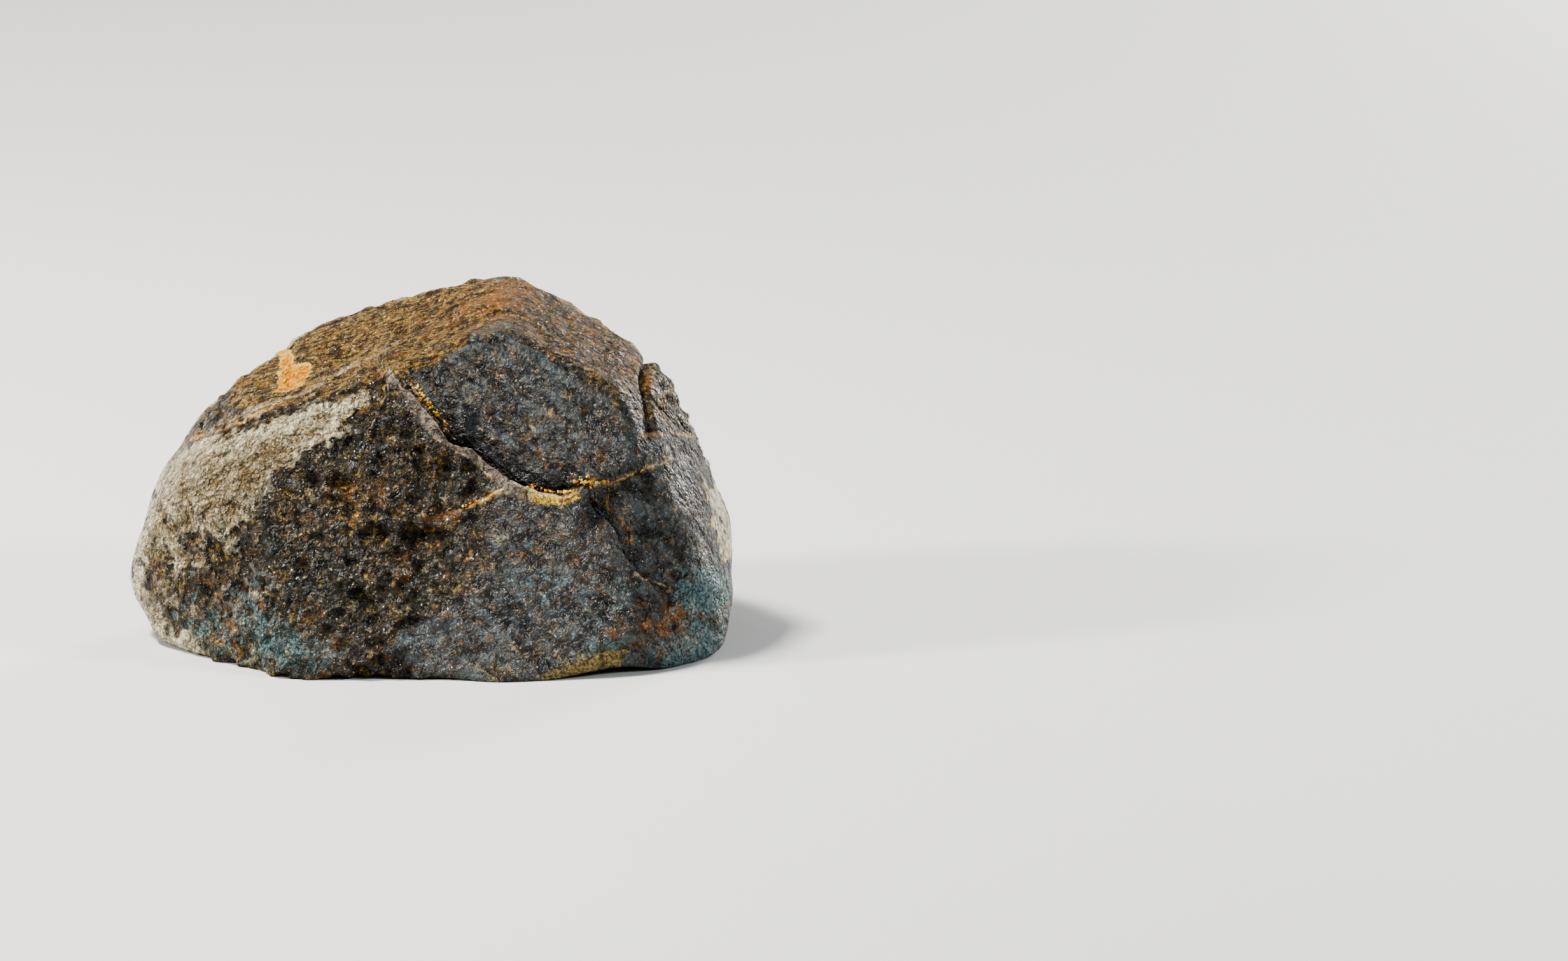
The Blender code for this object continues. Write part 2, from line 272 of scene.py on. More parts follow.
# %% Hollows and swellings
# form: side, right, up, half-width, half-height, turn (degrees), height
SWELLINGS = {
    "hollow beside the fork": ("front", 42.5, 33, 5, 4.2, 0, -2.2),
    "hollow down the right branch": ("front", 50, 23.5, 3.6, 10, 32, -2),
    "scoop below the ridge": ("front", -14, 49, 8.5, 7.5, 30, -1.6),
    "scoop, left": ("front", -26.5, 34, 8, 6.5, 40, -1.2),
    "scoop, middle": ("front", -2, 23.5, 11, 7, 35, -1),
    "rib above the toe": ("front", 4, 8, 12, 3, -8, 0.6),
    "hollow above the toe": ("front", 12, 1, 13, 5, 4, -1.2),
    "toe": ("front", 19, -10, 13, 5, 0, 2.6),
    "arch beside the toe": ("front", 46, -7.5, 9.5, 5, 0, -3),
    "right foot": ("front", 60, -4, 8, 6, 10, 1.8),
    "arch, left of the toe": ("front", -18, -8.5, 13, 4, 0, -2.2),
    "left heel": ("front", -35, -7, 10, 5, 0, 1.8),
    "scar on the left end": ("front", -63.5, 20.5, 4.2, 4.2, 0, -1.2),
    "waist above the right foot": ("front", 76, 19.5, 7, 4, 0, -1.4),
    "right edge, chipped": ("front", 70.5, 37, 4, 10, 10, 1.2),
    "upper slab, hollow": ("front", 13, 56, 11, 5, -40, -0.9),
    "upper slab, swelling": ("front", 33, 56, 9, 7, -30, 0.8),
    "back heel": ("back", -55, -8.5, 6, 6, 10, 5.8),
    "back notch": ("back", -43, -11, 4, 5, 0, -4.4),
    "back plate": ("back", -6, 16, 13, 10, 0, 1.4),
    "back, hollow above the plate": ("back", -5, 37, 16, 5.5, -4, -1.4),
    "back, hollow beside the plate": ("back", 27, 21, 8.5, 6.5, 20, -1.6),
    "back, hollow, upper": ("back", 6, 53, 12, 6.5, -25, -1.2),
    "back, swelling, right": ("back", 52, 28, 14, 16, 0, 1.2),
    "back, swelling, left": ("back", -33, 52, 15, 12, 30, 1.2),
    "top, brow": ("top", 8, -2, 10, 8, 0, 2.2),
    "top, trough": ("top", -18, 19, 20, 6, 5, -1),
    "top, swelling": ("top", -30, 34, 13, 8, 0, 1),
}


def swellings(points):
    """Height that the hollows and swellings add at each point."""
    height = np.zeros(len(points))
    for side, *spot, rise in SWELLINGS.values():
        places, belongs = on_side(points, side)
        height += rise * belongs * oval(places, *spot)
    return height


print(len(SWELLINGS), "hollows and swellings")

# %% [markdown]
# Cracks
#
# The stone has broken through and the parts have slipped a little. One crack runs down the front from
# the crest, forks, and goes round the right-hand end into the crack at the back. A boolean cut would
# leave walls that are too clean. Here each crack is a groove along a curved route, with a step where
# one side stands proud of the other.

# %% Cracks
TAPER = 0.08  # the share of a crack's length over which each end runs out
END_DEPTH = 0.35  # depth that is left at the very ends
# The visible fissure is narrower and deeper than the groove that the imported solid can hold
FISSURE_NARROWING = 0.62
FISSURE_DEEPENING = 1.15

# crack: side, half-width, depth, how proud the left and the right of the route stand, the distance
# over which that fades, and the route
CRACKS = {
    "front, main": ("front", 1.2, 1.7, -2.8, 0.7, 12, (
        (-8.7, 65), (-4.4, 61.3), (-1.5, 57.8), (1.4, 53.9), (3.7, 50.9), (10.2, 47.6), (16, 43.2),
        (20.9, 39.3), (28.7, 36.5), (32.2, 35.8), (35.1, 37.3), (37.4, 38.9))),
    "front, right branch": ("front", 1.2, 1.3, -1.5, 0.4, 8, (
        (37.4, 38.9), (39.4, 35), (44.6, 29.5), (47.2, 25.6), (48.1, 21.7), (50.1, 18.8), (54, 14.3),
        (57.9, 11.6))),
    "front, upper branch": ("front", 1, 0.6, 0.3, -0.3, 6, (
        (37.4, 38.9), (41.3, 39.3), (45.2, 39.3), (48.1, 40.2), (54, 41.8))),
    "front, left vein": ("front", 1, 0.4, 0.3, -0.4, 6, (
        (19.9, 40.2), (17, 37.7), (14.1, 35.8), (10.2, 34), (6.3, 32.4))),
    "front, ridge under the chipped edge": ("front", 1.2, 0.6, -0.8, 0.4, 5, (
        (53.2, 68.1), (51.6, 65.4), (52.1, 62.9), (54, 59.7), (57.5, 56), (61, 52.5), (64.5, 50.5))),
    "top, over the right shoulder": ("top", 1.4, 1.8, 0.3, 1.2, 9, (
        (54, -12), (53.2, -2), (53, 8), (54, 18), (56, 27), (57.5, 34))),
    "back, main": ("back", 1.3, 1.9, 0.6, -0.8, 9, (
        (-56.9, 53), (-56.5, 49.5), (-54.9, 41.7), (-52.8, 34.9), (-50.4, 29.1), (-48.9, 26.5),
        (-46.6, 25.2), (-40.7, 23.2), (-32.5, 20.9), (-30, 19.3), (-27.1, 17.4), (-24.6, 15.1),
        (-22.8, 11.9), (-20.9, 8.2), (-19.3, 5.3), (-15.4, 0.5), (-13.9, -6), (-13.1, -9.5))),
    "back, rim above the cut": ("back", 1.2, 0.4, 0.6, -1.7, 10, (
        (-74, 16), (-68, 10.5), (-60, 4.5), (-52, -1.2), (-46, -6), (-40.5, -9.5))),
    "back, arc": ("back", 1.4, 0.8, -0.7, 0.9, 8, (
        (-32.5, 21.3), (-31, 24.2), (-28.1, 26.7), (-24.2, 28.7), (-14.4, 30.8), (-2.8, 30.4), (7, 28.7),
        (12.2, 26.1), (15.2, 21.3), (15.8, 13.5), (16, 7.7), (16.6, 2.8))),
    # Only the skin has these two: where the dark front breaks away, and a stretch that gapes
    "front, edge of the pale shoulder": ("front", 1.1, 0.3, 0.6, -0.9, 6, (
        (-8, 66), (-13, 61.5), (-18.5, 57.5), (-22, 53), (-26, 49.5), (-32, 46.5), (-38, 42.5), (-40.5, 38),
        (-44, 33.5), (-50, 29))),
    "back, gap": ("back", 1.4, 3.4, 0.6, -0.6, 4, (
        (-50, 26.2), (-47, 24.7), (-43.5, 23.8), (-40, 23.1), (-36, 22.1), (-31.5, 21.2))),
}


def smooth_route(corners, steps=6):
    """A Catmull-Rom curve through the corners, with that many steps between two of them."""
    corners = np.array(corners)
    ends = (2 * corners[0] - corners[1], 2 * corners[-1] - corners[-2])
    padded = np.vstack((ends[0], corners, ends[1]))
    route = []
    for a, b, c, d in zip(padded, padded[1:], padded[2:], padded[3:]):
        for t in np.arange(steps) / steps:
            bend = (2 * a - 5 * b + 4 * c - d) * t**2 + (3 * b - a - 3 * c + d) * t**3
            route.append(0.5 * (2 * b + (c - a) * t + bend))
    return np.array(route + [corners[-1]])


def beside_route(places, route):
    """Distance to the route, positive on its left, and how far along it (0 to 1), per place."""
    nearest = np.full(len(places), np.inf)
    signed = np.zeros(len(places))
    along = np.zeros(len(places))
    for i, (a, b) in enumerate(zip(route, route[1:])):
        run = b - a
        t = np.clip((places - a) @ run / (run @ run), 0.0, 1.0)
        off = places - (a + t[:, None] * run)
        away = np.hypot(off[:, 0], off[:, 1])
        closer = away < nearest
        left = np.sign(run[0] * (places - a)[:, 1] - run[1] * (places - a)[:, 0])
        nearest = np.where(closer, away, nearest)
        signed = np.where(closer, away * left, signed)
        along = np.where(closer, (i + t) / (len(route) - 1), along)
    return signed, along


def crack_distances(points, shake):
    """For each crack: signed distance, place along it, and how surely a point is on its side."""
    measured = {}
    for name, (side, *_, corners) in CRACKS.items():
        places, belongs = on_side(points, side)
        measured[name] = (*beside_route(places + shake, smooth_route(corners)), belongs)
    return measured


def cracks(measured):
    """Height that the cracks add: a groove along each, and a step where its sides parted."""
    height = 0.0
    for name, (signed, along, belongs) in measured.items():
        _, half_width, depth, left_rise, right_rise, fade, _ = CRACKS[name]
        away = np.abs(signed)
        ends = smooth_step(0.0, TAPER, along) * smooth_step(0.0, TAPER, 1.0 - along)
        groove = np.exp(-((away / (half_width * FISSURE_NARROWING)) ** 2))
        groove *= -depth * FISSURE_DEEPENING * (END_DEPTH + (1.0 - END_DEPTH) * ends)
        on_left = smooth_step(-half_width / 2, half_width / 2, signed)
        rise = left_rise * on_left + right_rise * (1.0 - on_left)
        height = height + belongs * (ends * rise * np.exp(-away / fade) + groove)
    return height


print(len(CRACKS), "cracks")

# %% [markdown]
# The net
#
# The skin is a box-shaped net, blown out to the stone. A subdivided sphere would bunch at the poles.
# The cells are about a millimetre wide, and half and a quarter of that beside the cracks, where the
# relief is finest.

# %% The net
BLOCK_SIZE = (0.150, 0.094, 0.088)
CELL = 1.10 * MM
FINE_BANDS = (2.1, 1.1)  # mm from a crack that each halving of the cells reaches
ON_ITS_SIDE = 0.05  # how surely a point has to be on a crack's side to count


def block_shell():
    """A closed box-shaped net about the middle, with square cells of one size, as a bmesh."""
    net = bmesh.new()
    bmesh.ops.create_cube(net, size=1.0)
    for axis, size in enumerate(BLOCK_SIZE):
        lengthwise = [
            edge for edge in net.edges if abs((edge.verts[0].co - edge.verts[1].co)[axis]) > CELL
        ]
        bmesh.ops.subdivide_edges(net, edges=lengthwise, cuts=round(size / CELL) - 1)
    bmesh.ops.scale(net, vec=Vector(BLOCK_SIZE), verts=net.verts)
    return net


def directions_of(net):
    """The direction from the middle to each vertex of the net."""
    corners = np.array([vertex.co for vertex in net.verts])
    return corners / np.linalg.norm(corners, axis=1)[:, None]


def refine_beside_cracks(net, band):
    """Halves the net's cells where both ends of an edge are within the band of a crack."""
    directions = directions_of(net)
    points = MIDDLE + directions * rounded_block(directions)[0][:, None]
    near = np.zeros(len(points), bool)
    for signed, _, belongs in crack_distances(points, 0.0).values():
        near |= (np.abs(signed) < band) & (belongs > ON_ITS_SIDE)
    net.verts.ensure_lookup_table()
    chosen = [edge for edge in net.edges if near[edge.verts[0].index] and near[edge.verts[1].index]]
    bmesh.ops.subdivide_edges(net, edges=chosen, cuts=1, use_grid_fill=True)
    net.verts.index_update()


net = block_shell()
net.verts.index_update()
print(len(net.verts), "points in the plain net")
for band in FINE_BANDS:
    refine_beside_cracks(net, band)
print(len(net.verts), "points once the cells beside the cracks are halved")

# %% [markdown]
# Relief
#
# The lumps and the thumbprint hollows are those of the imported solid, from the same noise. The finer
# relief is added here: scaly ledges and pits on the rough faces, long shallow ribs on the brown top,
# and next to nothing on the smooth lower right. Displacement by a texture could do it, but numbers at
# each point also let the colours follow the relief.

# %% Lumps and hollows
REST_RADIUS, REST_FADE = 19 * MM, 8 * MM  # the flat that the stone rests on, free of relief
REST_LEVELS = (2 * MM, 6 * MM)  # above these heights the relief comes back over the flat too
LUMPS = ((22, 1.2), (10, 0.9))  # size of a lump and its height, coarse to fine
DIMPLE_SIZE, DIMPLE_DEPTH = 8.5, 1.3  # thumbprint hollows on the rough faces
DIMPLE_REACH = 0.55  # of a cell, from its middle
NOISE_ORIGIN = Vector((3.1, 7.7, 1.9))  # where in the endless noise this stone is cut from
# The front is scaly left of a slanting line, and the back is up to its end: smooth from, scaly from
SCALY_FRONT, SCALY_SLANT, SCALY_BACK = (10, -12), 0.3, (66, 48)


def noise_at(points, size, turn_by=0.0):
    """Smooth noise from -1 to 1 at each point, with features of that size."""
    shift = NOISE_ORIGIN + Vector((turn_by, -turn_by, turn_by))
    return np.array([noise.noise(Vector(point) / (size * MM) + shift) for point in points])


def cells_at(points, size):
    """Distance from each point to the middle of the nearest cell of that size, in cells."""
    scaled = (Vector(point) / (size * MM) + NOISE_ORIGIN for point in points)
    return np.array([noise.voronoi(point)[0][0] for point in scaled])


def lumps(points, rough):
    """Height that the all-over lumps and the thumbprint hollows add at each point."""
    height = sum(rise * noise_at(points, size) for size, rise in LUMPS)
    dimples = np.maximum(0.0, DIMPLE_REACH - cells_at(points, DIMPLE_SIZE))
    return height - rough * DIMPLE_DEPTH * dimples


def roughness_of(points):
    """Where the stone is scaly and pitted (1) or smooth (0)."""
    front, on_front = on_side(points, "front")
    back, on_back = on_side(points, "back")
    rough_front = on_front * smooth_step(*SCALY_FRONT, front[:, 0] - SCALY_SLANT * front[:, 1])
    return np.maximum(rough_front, on_back * smooth_step(*SCALY_BACK, back[:, 0]))


# %% Fine relief
SHAKE = ((2.8, 0.35), (1.0, 0.16))  # how a crack's route wavers: size and reach
LEDGE_SIZE, LEDGE_RISE = 5.2, 1.30
PIT_SIZE, PIT_DEPTH = 3.2, 1.10
GRAIN_SIZE, GRAIN_RISE, SMOOTH_GRAIN = 2.0, 0.34, 0.35  # the last: its share on smooth faces
SCALE_SIZE, SCALE_RISE, SCALE_LEVEL = 4.2, 1.60, 0.4  # the last: where a scale is level, in cells
RIB_SIZE, RIB_RISE, RIB_STRETCH = 2.0, 0.42, 4.0


def fine_relief(points, rough, top_share):
    """Height that ledges, scales, pits, grain and the top's ribs add at each point."""
    ledges = 1.0 - 2.0 * np.abs(noise_at(points, LEDGE_SIZE, 5.0))
    pits = np.maximum(0.0, noise_at(points, PIT_SIZE, 9.0))
    grain = noise_at(points, GRAIN_SIZE, 13.0) * (SMOOTH_GRAIN + (1.0 - SMOOTH_GRAIN) * rough)
    ribs = noise_at(points * (1.0 / RIB_STRETCH, 1.0, 1.0), RIB_SIZE, 17.0)
    scales = SCALE_LEVEL - cells_at(points, SCALE_SIZE)
    height = rough * (LEDGE_RISE * ledges + SCALE_RISE * scales - PIT_DEPTH * pits)
    return height + GRAIN_RISE * grain + top_share * RIB_RISE * ribs


def off_the_rest(points):
    """0 on the flat that the stone rests on, 1 away from it."""
    from_the_origin = np.hypot(points[:, 0], points[:, 1])
    away = smooth_step(REST_RADIUS, REST_RADIUS + REST_FADE, from_the_origin)
    return np.maximum(away, smooth_step(*REST_LEVELS, points[:, 2]))


def wavering(size, reach, turn_by):
    """A sideways shift on a drawing that wavers over the block, for edges that aren't straight."""
    pair = (noise_at(block, size, turn_by), noise_at(block, size, turn_by + 4.0))
    return reach * np.stack(pair, axis=1)


# %% The skin's shape
SINK_WIDTH, SINK_DEPTH = 5.0, 1.8  # the slab has sunk more along the main crack than on the solid
SINK_START, SINK_END = (0.15, 0.40), (1.0, 0.85)  # places along the crack where that fades in and out

directions = directions_of(net)
reach, shares = rounded_block(directions)
block = MIDDLE + directions * reach[:, None]
normals = block_normals(shares)
shake = sum(wavering(size, rise, 21.0) for size, rise in SHAKE)
rough = roughness_of(block)
top_share = sum(share for name, share in shares.items() if name.startswith("top"))
measured = crack_distances(block, shake)
main_side, main_along, main_belongs = measured["front, main"]
sunk = smooth_step(0.0, 1.0, main_side) * np.exp(-((main_side / SINK_WIDTH) ** 2))
sunk *= smooth_step(*SINK_START, main_along) * smooth_step(*SINK_END, main_along) * main_belongs
height = swellings(block) + cracks(measured) + lumps(block, rough) - SINK_DEPTH * sunk
height += fine_relief(block, rough * (1.0 - top_share), top_share)
points = block + directions * (height * MM * off_the_rest(block))[:, None]
points[:, 2] = np.maximum(points[:, 2], 0.0)
for vertex, point in zip(net.verts, points):
    vertex.co = point
bmesh.ops.triangulate(net, faces=net.faces)
print(f"relief from {height.min():.2f} to {height.max():.2f} mm, {len(net.faces)} triangles")

# %% [markdown]
# Patches of colour
#
# The crust has weathered differently from place to place: cream and crackled on the left shoulder,
# brown and streaked on top, blue-grey where the slab slipped, teal low down, rust in spots. A painted
# image could hold this. Here each patch is an outline on one of the drawings, or a soft spot, and its
# weight is kept with every point of the skin. The finish then breaks the edges up with noise. The
# sheen spots are no weathering but painted sheen: bluish reflections on the slab and the back.

# %% Patches with an outline
# patch: side and corners
OUTLINES = {
    "pale": (
        ("front", ((-60, 49), (-50, 52), (-42, 54), (-34, 57), (-26, 59), (-18, 61.5), (-8, 65.5),
            (-13, 61.5), (-18.5, 57.5), (-22, 53), (-26, 49.5), (-32, 46.5), (-38, 42.5), (-40.5, 38),
            (-44, 33.5), (-50, 29), (-58, 27), (-65, 28), (-68, 34), (-66, 42))),
        ("front", ((-78, 20), (-74.5, 18), (-71.5, 10), (-67, 5), (-61, 0.5), (-55, -3), (-58, -8),
            (-70, -6), (-80, 4))),
        ("back", ((28, 57), (38, 57), (46, 56), (54, 53), (62, 46), (70, 38), (78, 28), (79, 8), (76, -3),
            (66, -8), (63, -4), (63, 3), (60, 12), (58, 20), (55, 27), (50, 33), (46, 38), (42, 41),
            (36, 43), (32, 48), (27, 52))),
    ),
    "beige": (
        ("back", ((-58, 57), (-50, 62), (-42, 67), (-32, 70), (-22, 71), (-13, 68.5), (-5, 66), (4, 62.5),
            (12, 60), (20, 58), (28, 56), (34, 50), (30, 46), (20, 50), (10, 52), (2, 51), (-8, 53),
            (-18, 52), (-28, 48), (-38, 44), (-46, 38), (-51, 36), (-55, 44))),
        ("back", ((-60, 53), (-72, 40), (-80, 20), (-72, 12), (-58, 14), (-48, 20), (-40, 21), (-34, 19),
            (-37, 14), (-46, 12), (-54, 22), (-56, 34), (-58, 44))),
    ),
    "slab": (
        ("front", ((-5, 66), (0, 69), (6, 72.5), (12, 76), (17, 78.5), (20, 77), (24, 73), (30, 69.5),
            (36, 65.5), (42, 61.5), (50, 57), (57, 52.5), (66, 50), (80, 48), (80, -14), (-6, -14),
            (-12, -6), (-8, 4), (4, 8), (10, 14), (13, 22), (11, 30), (16, 36), (20, 41), (12, 48), (4, 52),
            (-1, 58))),
    ),
    "cut": (
        ("back", ((-80, 18), (-73, 16), (-66, 10), (-58, 3.5), (-50, -3), (-44, -7), (-40, -10), (-50, -16),
            (-70, -16), (-84, 0))),
    ),
    "chalk": (
        ("front", ((65.8, 39.5), (68, 37), (72.5, 38), (77, 33), (77, 20), (72.5, 17.5), (70.6, 20),
            (68.8, 26), (67, 32))),
    ),
    "orange": (
        ("front", ((-39.4, 65.3), (-37.8, 67.5), (-36.2, 69), (-33.5, 69.5), (-31.1, 69.2), (-30.2, 65.9),
            (-32.7, 63.4), (-36, 62.6), (-39, 62.4))),
        ("front", ((-38.4, 69.8), (-38, 71.8), (-34.4, 72.3), (-34.8, 69.6), (-36.5, 68.6))),
        ("back", ((26.5, 58.8), (30, 58.9), (34.5, 57.6), (31, 57), (28, 56.8))),
    ),
    "ochre": (
        ("front", ((22, -9.5), (28, -5.6), (35, -4.2), (42, -2.6), (51, -4), (48, -8), (34, -10))),
    ),
}

# %% Soft spots
# patch and side: right, up, half-width, half-height, turn (degrees), weight
SPOTS = {
    "pale": {
        "front": ((-63.5, 22.5, 3.4, 3, 0, 0.9), (-44, 44, 9, 6, 35, 0.5)),
        "back": ((33, 27.5, 4, 1.2, 30, 0.7), (23, 21.5, 6, 1, 5, 0.5), (41, 42, 5, 3, -40, 0.6),
            (36, 10.5, 3, 1, -10, 0.5), (-24, 38, 5, 1.6, -50, 0.5), (-27, 23, 5, 3, 30, 0.55),
            (-36, 58, 18, 8, 20, 0.62), (-66, 36, 7, 12, 0, 0.55), (-14, 64, 16, 5, -20, 0.55),
            (10, 58, 14, 5, -10, 0.45), (52, 26, 9, 14, -20, 0.5), (56, 8, 7, 9, 0, 0.4)),
    },
    "beige": {
        "front": ((-68, 25, 9, 7, 20, 0.8),),
        "back": ((-42, 38, 16, 12, -20, 0.95), (-24, 34, 12, 9, 0, 0.62), (-66, 28, 10, 16, 0, 0.85),
            (-50, 14, 16, 14, 0, 0.85), (-34, 4, 10, 8, 0, 0.55), (-2, 46, 14, 6, 0, 0.6),
            (38, 30, 14, 18, 0, 0.48), (24, 42, 12, 8, 0, 0.6), (44, 12, 14, 14, 0, 0.45),
            (20, 14, 14, 16, 0, 0.42), (-4, 12, 10, 12, 0, 0.4)),
    },
    "tarnish": {
        "front": ((-40, 46.5, 6, 4, 30, 0.8), (-46, 40, 6, 5, 40, 0.7), (-56, 43, 5, 6, 40, 0.45),
            (-62, 36, 5, 6, 60, 0.5), (-50, 33, 4, 4, 0, 0.7), (-30, 53, 4, 2.5, 30, 0.45),
            (-62, 28, 5, 4, 0, 0.6), (-72, 10, 4, 5, 60, 0.5)),
        "back": ((40, 46, 5, 3, -40, 0.6), (56, 34, 4, 6, -40, 0.5), (66, 20, 3, 8, 10, 0.5),
            (62, 6, 4, 5, 10, 0.6)),
    },
    "teal": {
        "front": ((-45, 6, 14, 7, -20, 0.6), (-36, -2, 14, 6, -5, 0.8), (-58, 4, 8, 5, -30, 0.7),
            (-42, 15, 8, 7, 0, 0.45), (-5, 0, 8, 6, 0, 0.45), (67, 11, 8, 7, 40, 1.3),
            (64, -3, 11, 7, 15, 1.3), (45, 12, 4, 7, -20, 0.55), (41, -1, 8, 3.5, 10, 0.8),
            (26, 15, 7, 5, -30, 0.45), (35, 8, 9, 6, -30, 0.35)),
        "back": ((57, 1, 8, 9, 20, 0.45), (35, 5, 9, 5, 0, 0.35), (-60, 4, 7, 4, -40, 0.7),
            (-64, 12, 6, 3, -40, 0.4)),
    },
    "rust": {
        "front": ((-48, 8, 6, 4, 10, 0.9), (-50, 2, 4, 4, 0, 0.9), (-31, 4.5, 4, 2.6, 20, 1),
            (-25.5, -0.5, 2.6, 2, 0, 1), (-27, -7, 3, 1.2, 0, 1), (-55, 12, 5, 4, 0, 0.6),
            (-12, 58, 9, 5, 0, 0.3), (-28, 29, 9, 5, 20, 0.35), (-14, 38, 14, 8, 20, 0.25),
            (-6, 17, 6, 4, 40, 0.4), (-2, 24, 9, 3, 45, 0.4), (3, 31, 7, 3, 20, 0.45), (57, 2, 9, 7, 10, 1),
            (62, 5, 6, 5, 0, 0.7), (44.5, 2.5, 3, 2, 0, 0.9), (27, 45, 5, 3, -40, 0.5),
            (40, 44, 4, 3, 0, 0.5), (25, 33, 9, 5, 0, 0.35), (57, 58, 6, 6, -40, 0.7),
            (15, 83, 12, 6, 20, 0.5), (36, 76, 9, 6, -35, 0.4)),
        "back": ((24, 47, 4, 4.5, 20, 0.95), (44, 31, 3, 3.5, -60, 0.9), (42, 26.5, 4, 3, 0, 0.7),
            (58, 33, 2, 3.5, -20, 0.7), (44, 48, 4, 2, -20, 0.5), (3, 27, 7, 3, 10, 0.8),
            (1, 36, 9, 4, 0, 0.5), (-5, 20, 12, 7, 0, 0.5), (12, 30, 4, 2, -20, 0.6),
            (-36, 4, 10, 5, -20, 0.45), (-37, 39, 4, 3, 30, 0.5), (-14, 47, 12, 4, 10, 0.4),
            (48, 6, 7, 3, -20, 0.5), (27, 7, 5, 2, -20, 0.7), (-30, 72, 14, 3, 10, 0.6)),
    },
    "ochre": {
        "front": ((-67, 17, 3, 2.4, -30, 0.8), (13, -6, 5, 2.4, 0, 0.8), (27, -3.2, 5, 1.2, 5, 0.7),
            (-16, 26.5, 3, 2, -20, 0.5), (-9, 51, 5, 3.5, -40, 0.5), (-15, 47, 4, 3, 0, 0.4),
            (55, 33, 6, 5, 0, 0.3)),
        "back": ((-42, -7.5, 2.4, 1.4, -30, 1), (22, -7, 12, 3, 0, 0.5), (8, -5, 8, 4, 0, 0.4),
            (-34, -6, 8, 3, 0, 0.45), (-28, 15, 4, 3, -40, 0.4)),
    },
    "slab": {
        "back": ((-2, 0, 14, 9, 0, 0.8), (-52, 6, 6, 5, -40, 0.3), (30, 12, 14, 9, 0, 0.45),
            (20, 37, 10, 5, 0, 0.35), (50, 12, 8, 6, 0, 0.4)),
        "front": ((-45, 25, 10, 9, 0, 0.35),),
    },
    # painted sheen: bluish reflections on the slab and the back, drawn as soft spots
    "glint": {
        "front": ((14, 75.5, 6, 2.2, 28, 1), (27, 69, 6, 2.2, -35, 0.9), (35, 62.5, 4, 2.5, -30, 0.4),
            (53, 32, 4, 2.5, -20, 0.7), (-4, 55, 3, 2, -45, 0.6), (6, 3.5, 8, 3, 0, 0.75)),
        "back": ((15.5, 54, 3, 3, 0, 0.8), (25, 55, 5, 3, -20, 0.6), (40.5, 42, 3, 2, -45, 0.9),
            (5, 55, 10, 5, 0, 0.3)),
    },
}

# %% The patches' weights
IN_SIGHT = {"front": (0.02, 0.12), "back": (0.16, 0.36)}  # how far a point faces the eye: none, all
PATCH_EDGE = 1.8  # how far an outline's edge fades to each side
WAVES = ((6, 1.3, 31.0), (2, 0.6, 41.0))  # how the edges waver: size, reach and place in the noise
WIDE_EDGES = {"pale": 3.6, "beige": 5.0, "slab": 3.0}
# Neither drawing sees the ends: patch, the end it goes round (along X) and its weight there
END_PATCHES = (("pale", -1.0, 0.65), ("beige", 1.0, 0.30))
END_FACING = (0.55, 0.85)
BROWN_SHARES = (0.35, 0.65)  # the brown begins and is whole at these shares of the top's faces


def on_drawing(side):
    """Each point's place on that side's drawing, and 1 where the eye sees it from there."""
    places, _ = on_side(block, side)
    return places, smooth_step(*IN_SIGHT[side], normals @ view_axes(side)[2])


def outline_weight(side, corners, edge):
    """1 inside the outline, 0 outside, with a soft edge that wavers."""
    places, in_sight = on_drawing(side)
    places = places + waver
    corners = np.array(corners, float)
    inside = np.zeros(len(places), bool)
    nearest = np.full(len(places), np.inf)
    for a, b in zip(corners, np.roll(corners, -1, axis=0)):
        run = b - a
        t = np.clip((places - a) @ run / (run @ run), 0.0, 1.0)
        nearest = np.minimum(nearest, np.linalg.norm(places - a - t[:, None] * run, axis=1))
        crosses = (a[1] > places[:, 1]) != (b[1] > places[:, 1])
        rise = run[1] if run[1] != 0.0 else 1.0
        inside ^= crosses & (places[:, 0] < a[0] + (places[:, 1] - a[1]) / rise * run[0])
    return smooth_step(-edge, edge, np.where(inside, nearest, -nearest)) * in_sight


def spot_weight(side, spot, weight):
    """A soft round or oval spot: its weight at the middle, fading outwards."""
    places, in_sight = on_drawing(side)
    return weight * in_sight * oval(places + waver, *spot)


def over_each_other(layers):
    """The weight of several layers that cover each other."""
    return 1.0 - np.prod([1.0 - np.minimum(layer, 1.0) for layer in layers], axis=0)


waver = sum(wavering(*wave) for wave in WAVES)
patches = {}
for name in sorted(set(OUTLINES) | set(SPOTS)):
    edge = WIDE_EDGES.get(name, PATCH_EDGE)
    layers = [outline_weight(side, corners, edge) for side, corners in OUTLINES.get(name, ())]
    for side, spots in SPOTS.get(name, {}).items():
        layers += [spot_weight(side, spot, weight) for *spot, weight in spots]
    patches[name] = over_each_other(layers)
for name, way, weight in END_PATCHES:
    end = weight * smooth_step(*END_FACING, way * normals[:, 0])
    patches[name] = over_each_other((patches[name], end))
patches["brown"] = smooth_step(*BROWN_SHARES, top_share)
print({name: round(float(weight.mean()), 3) for name, weight in patches.items()})
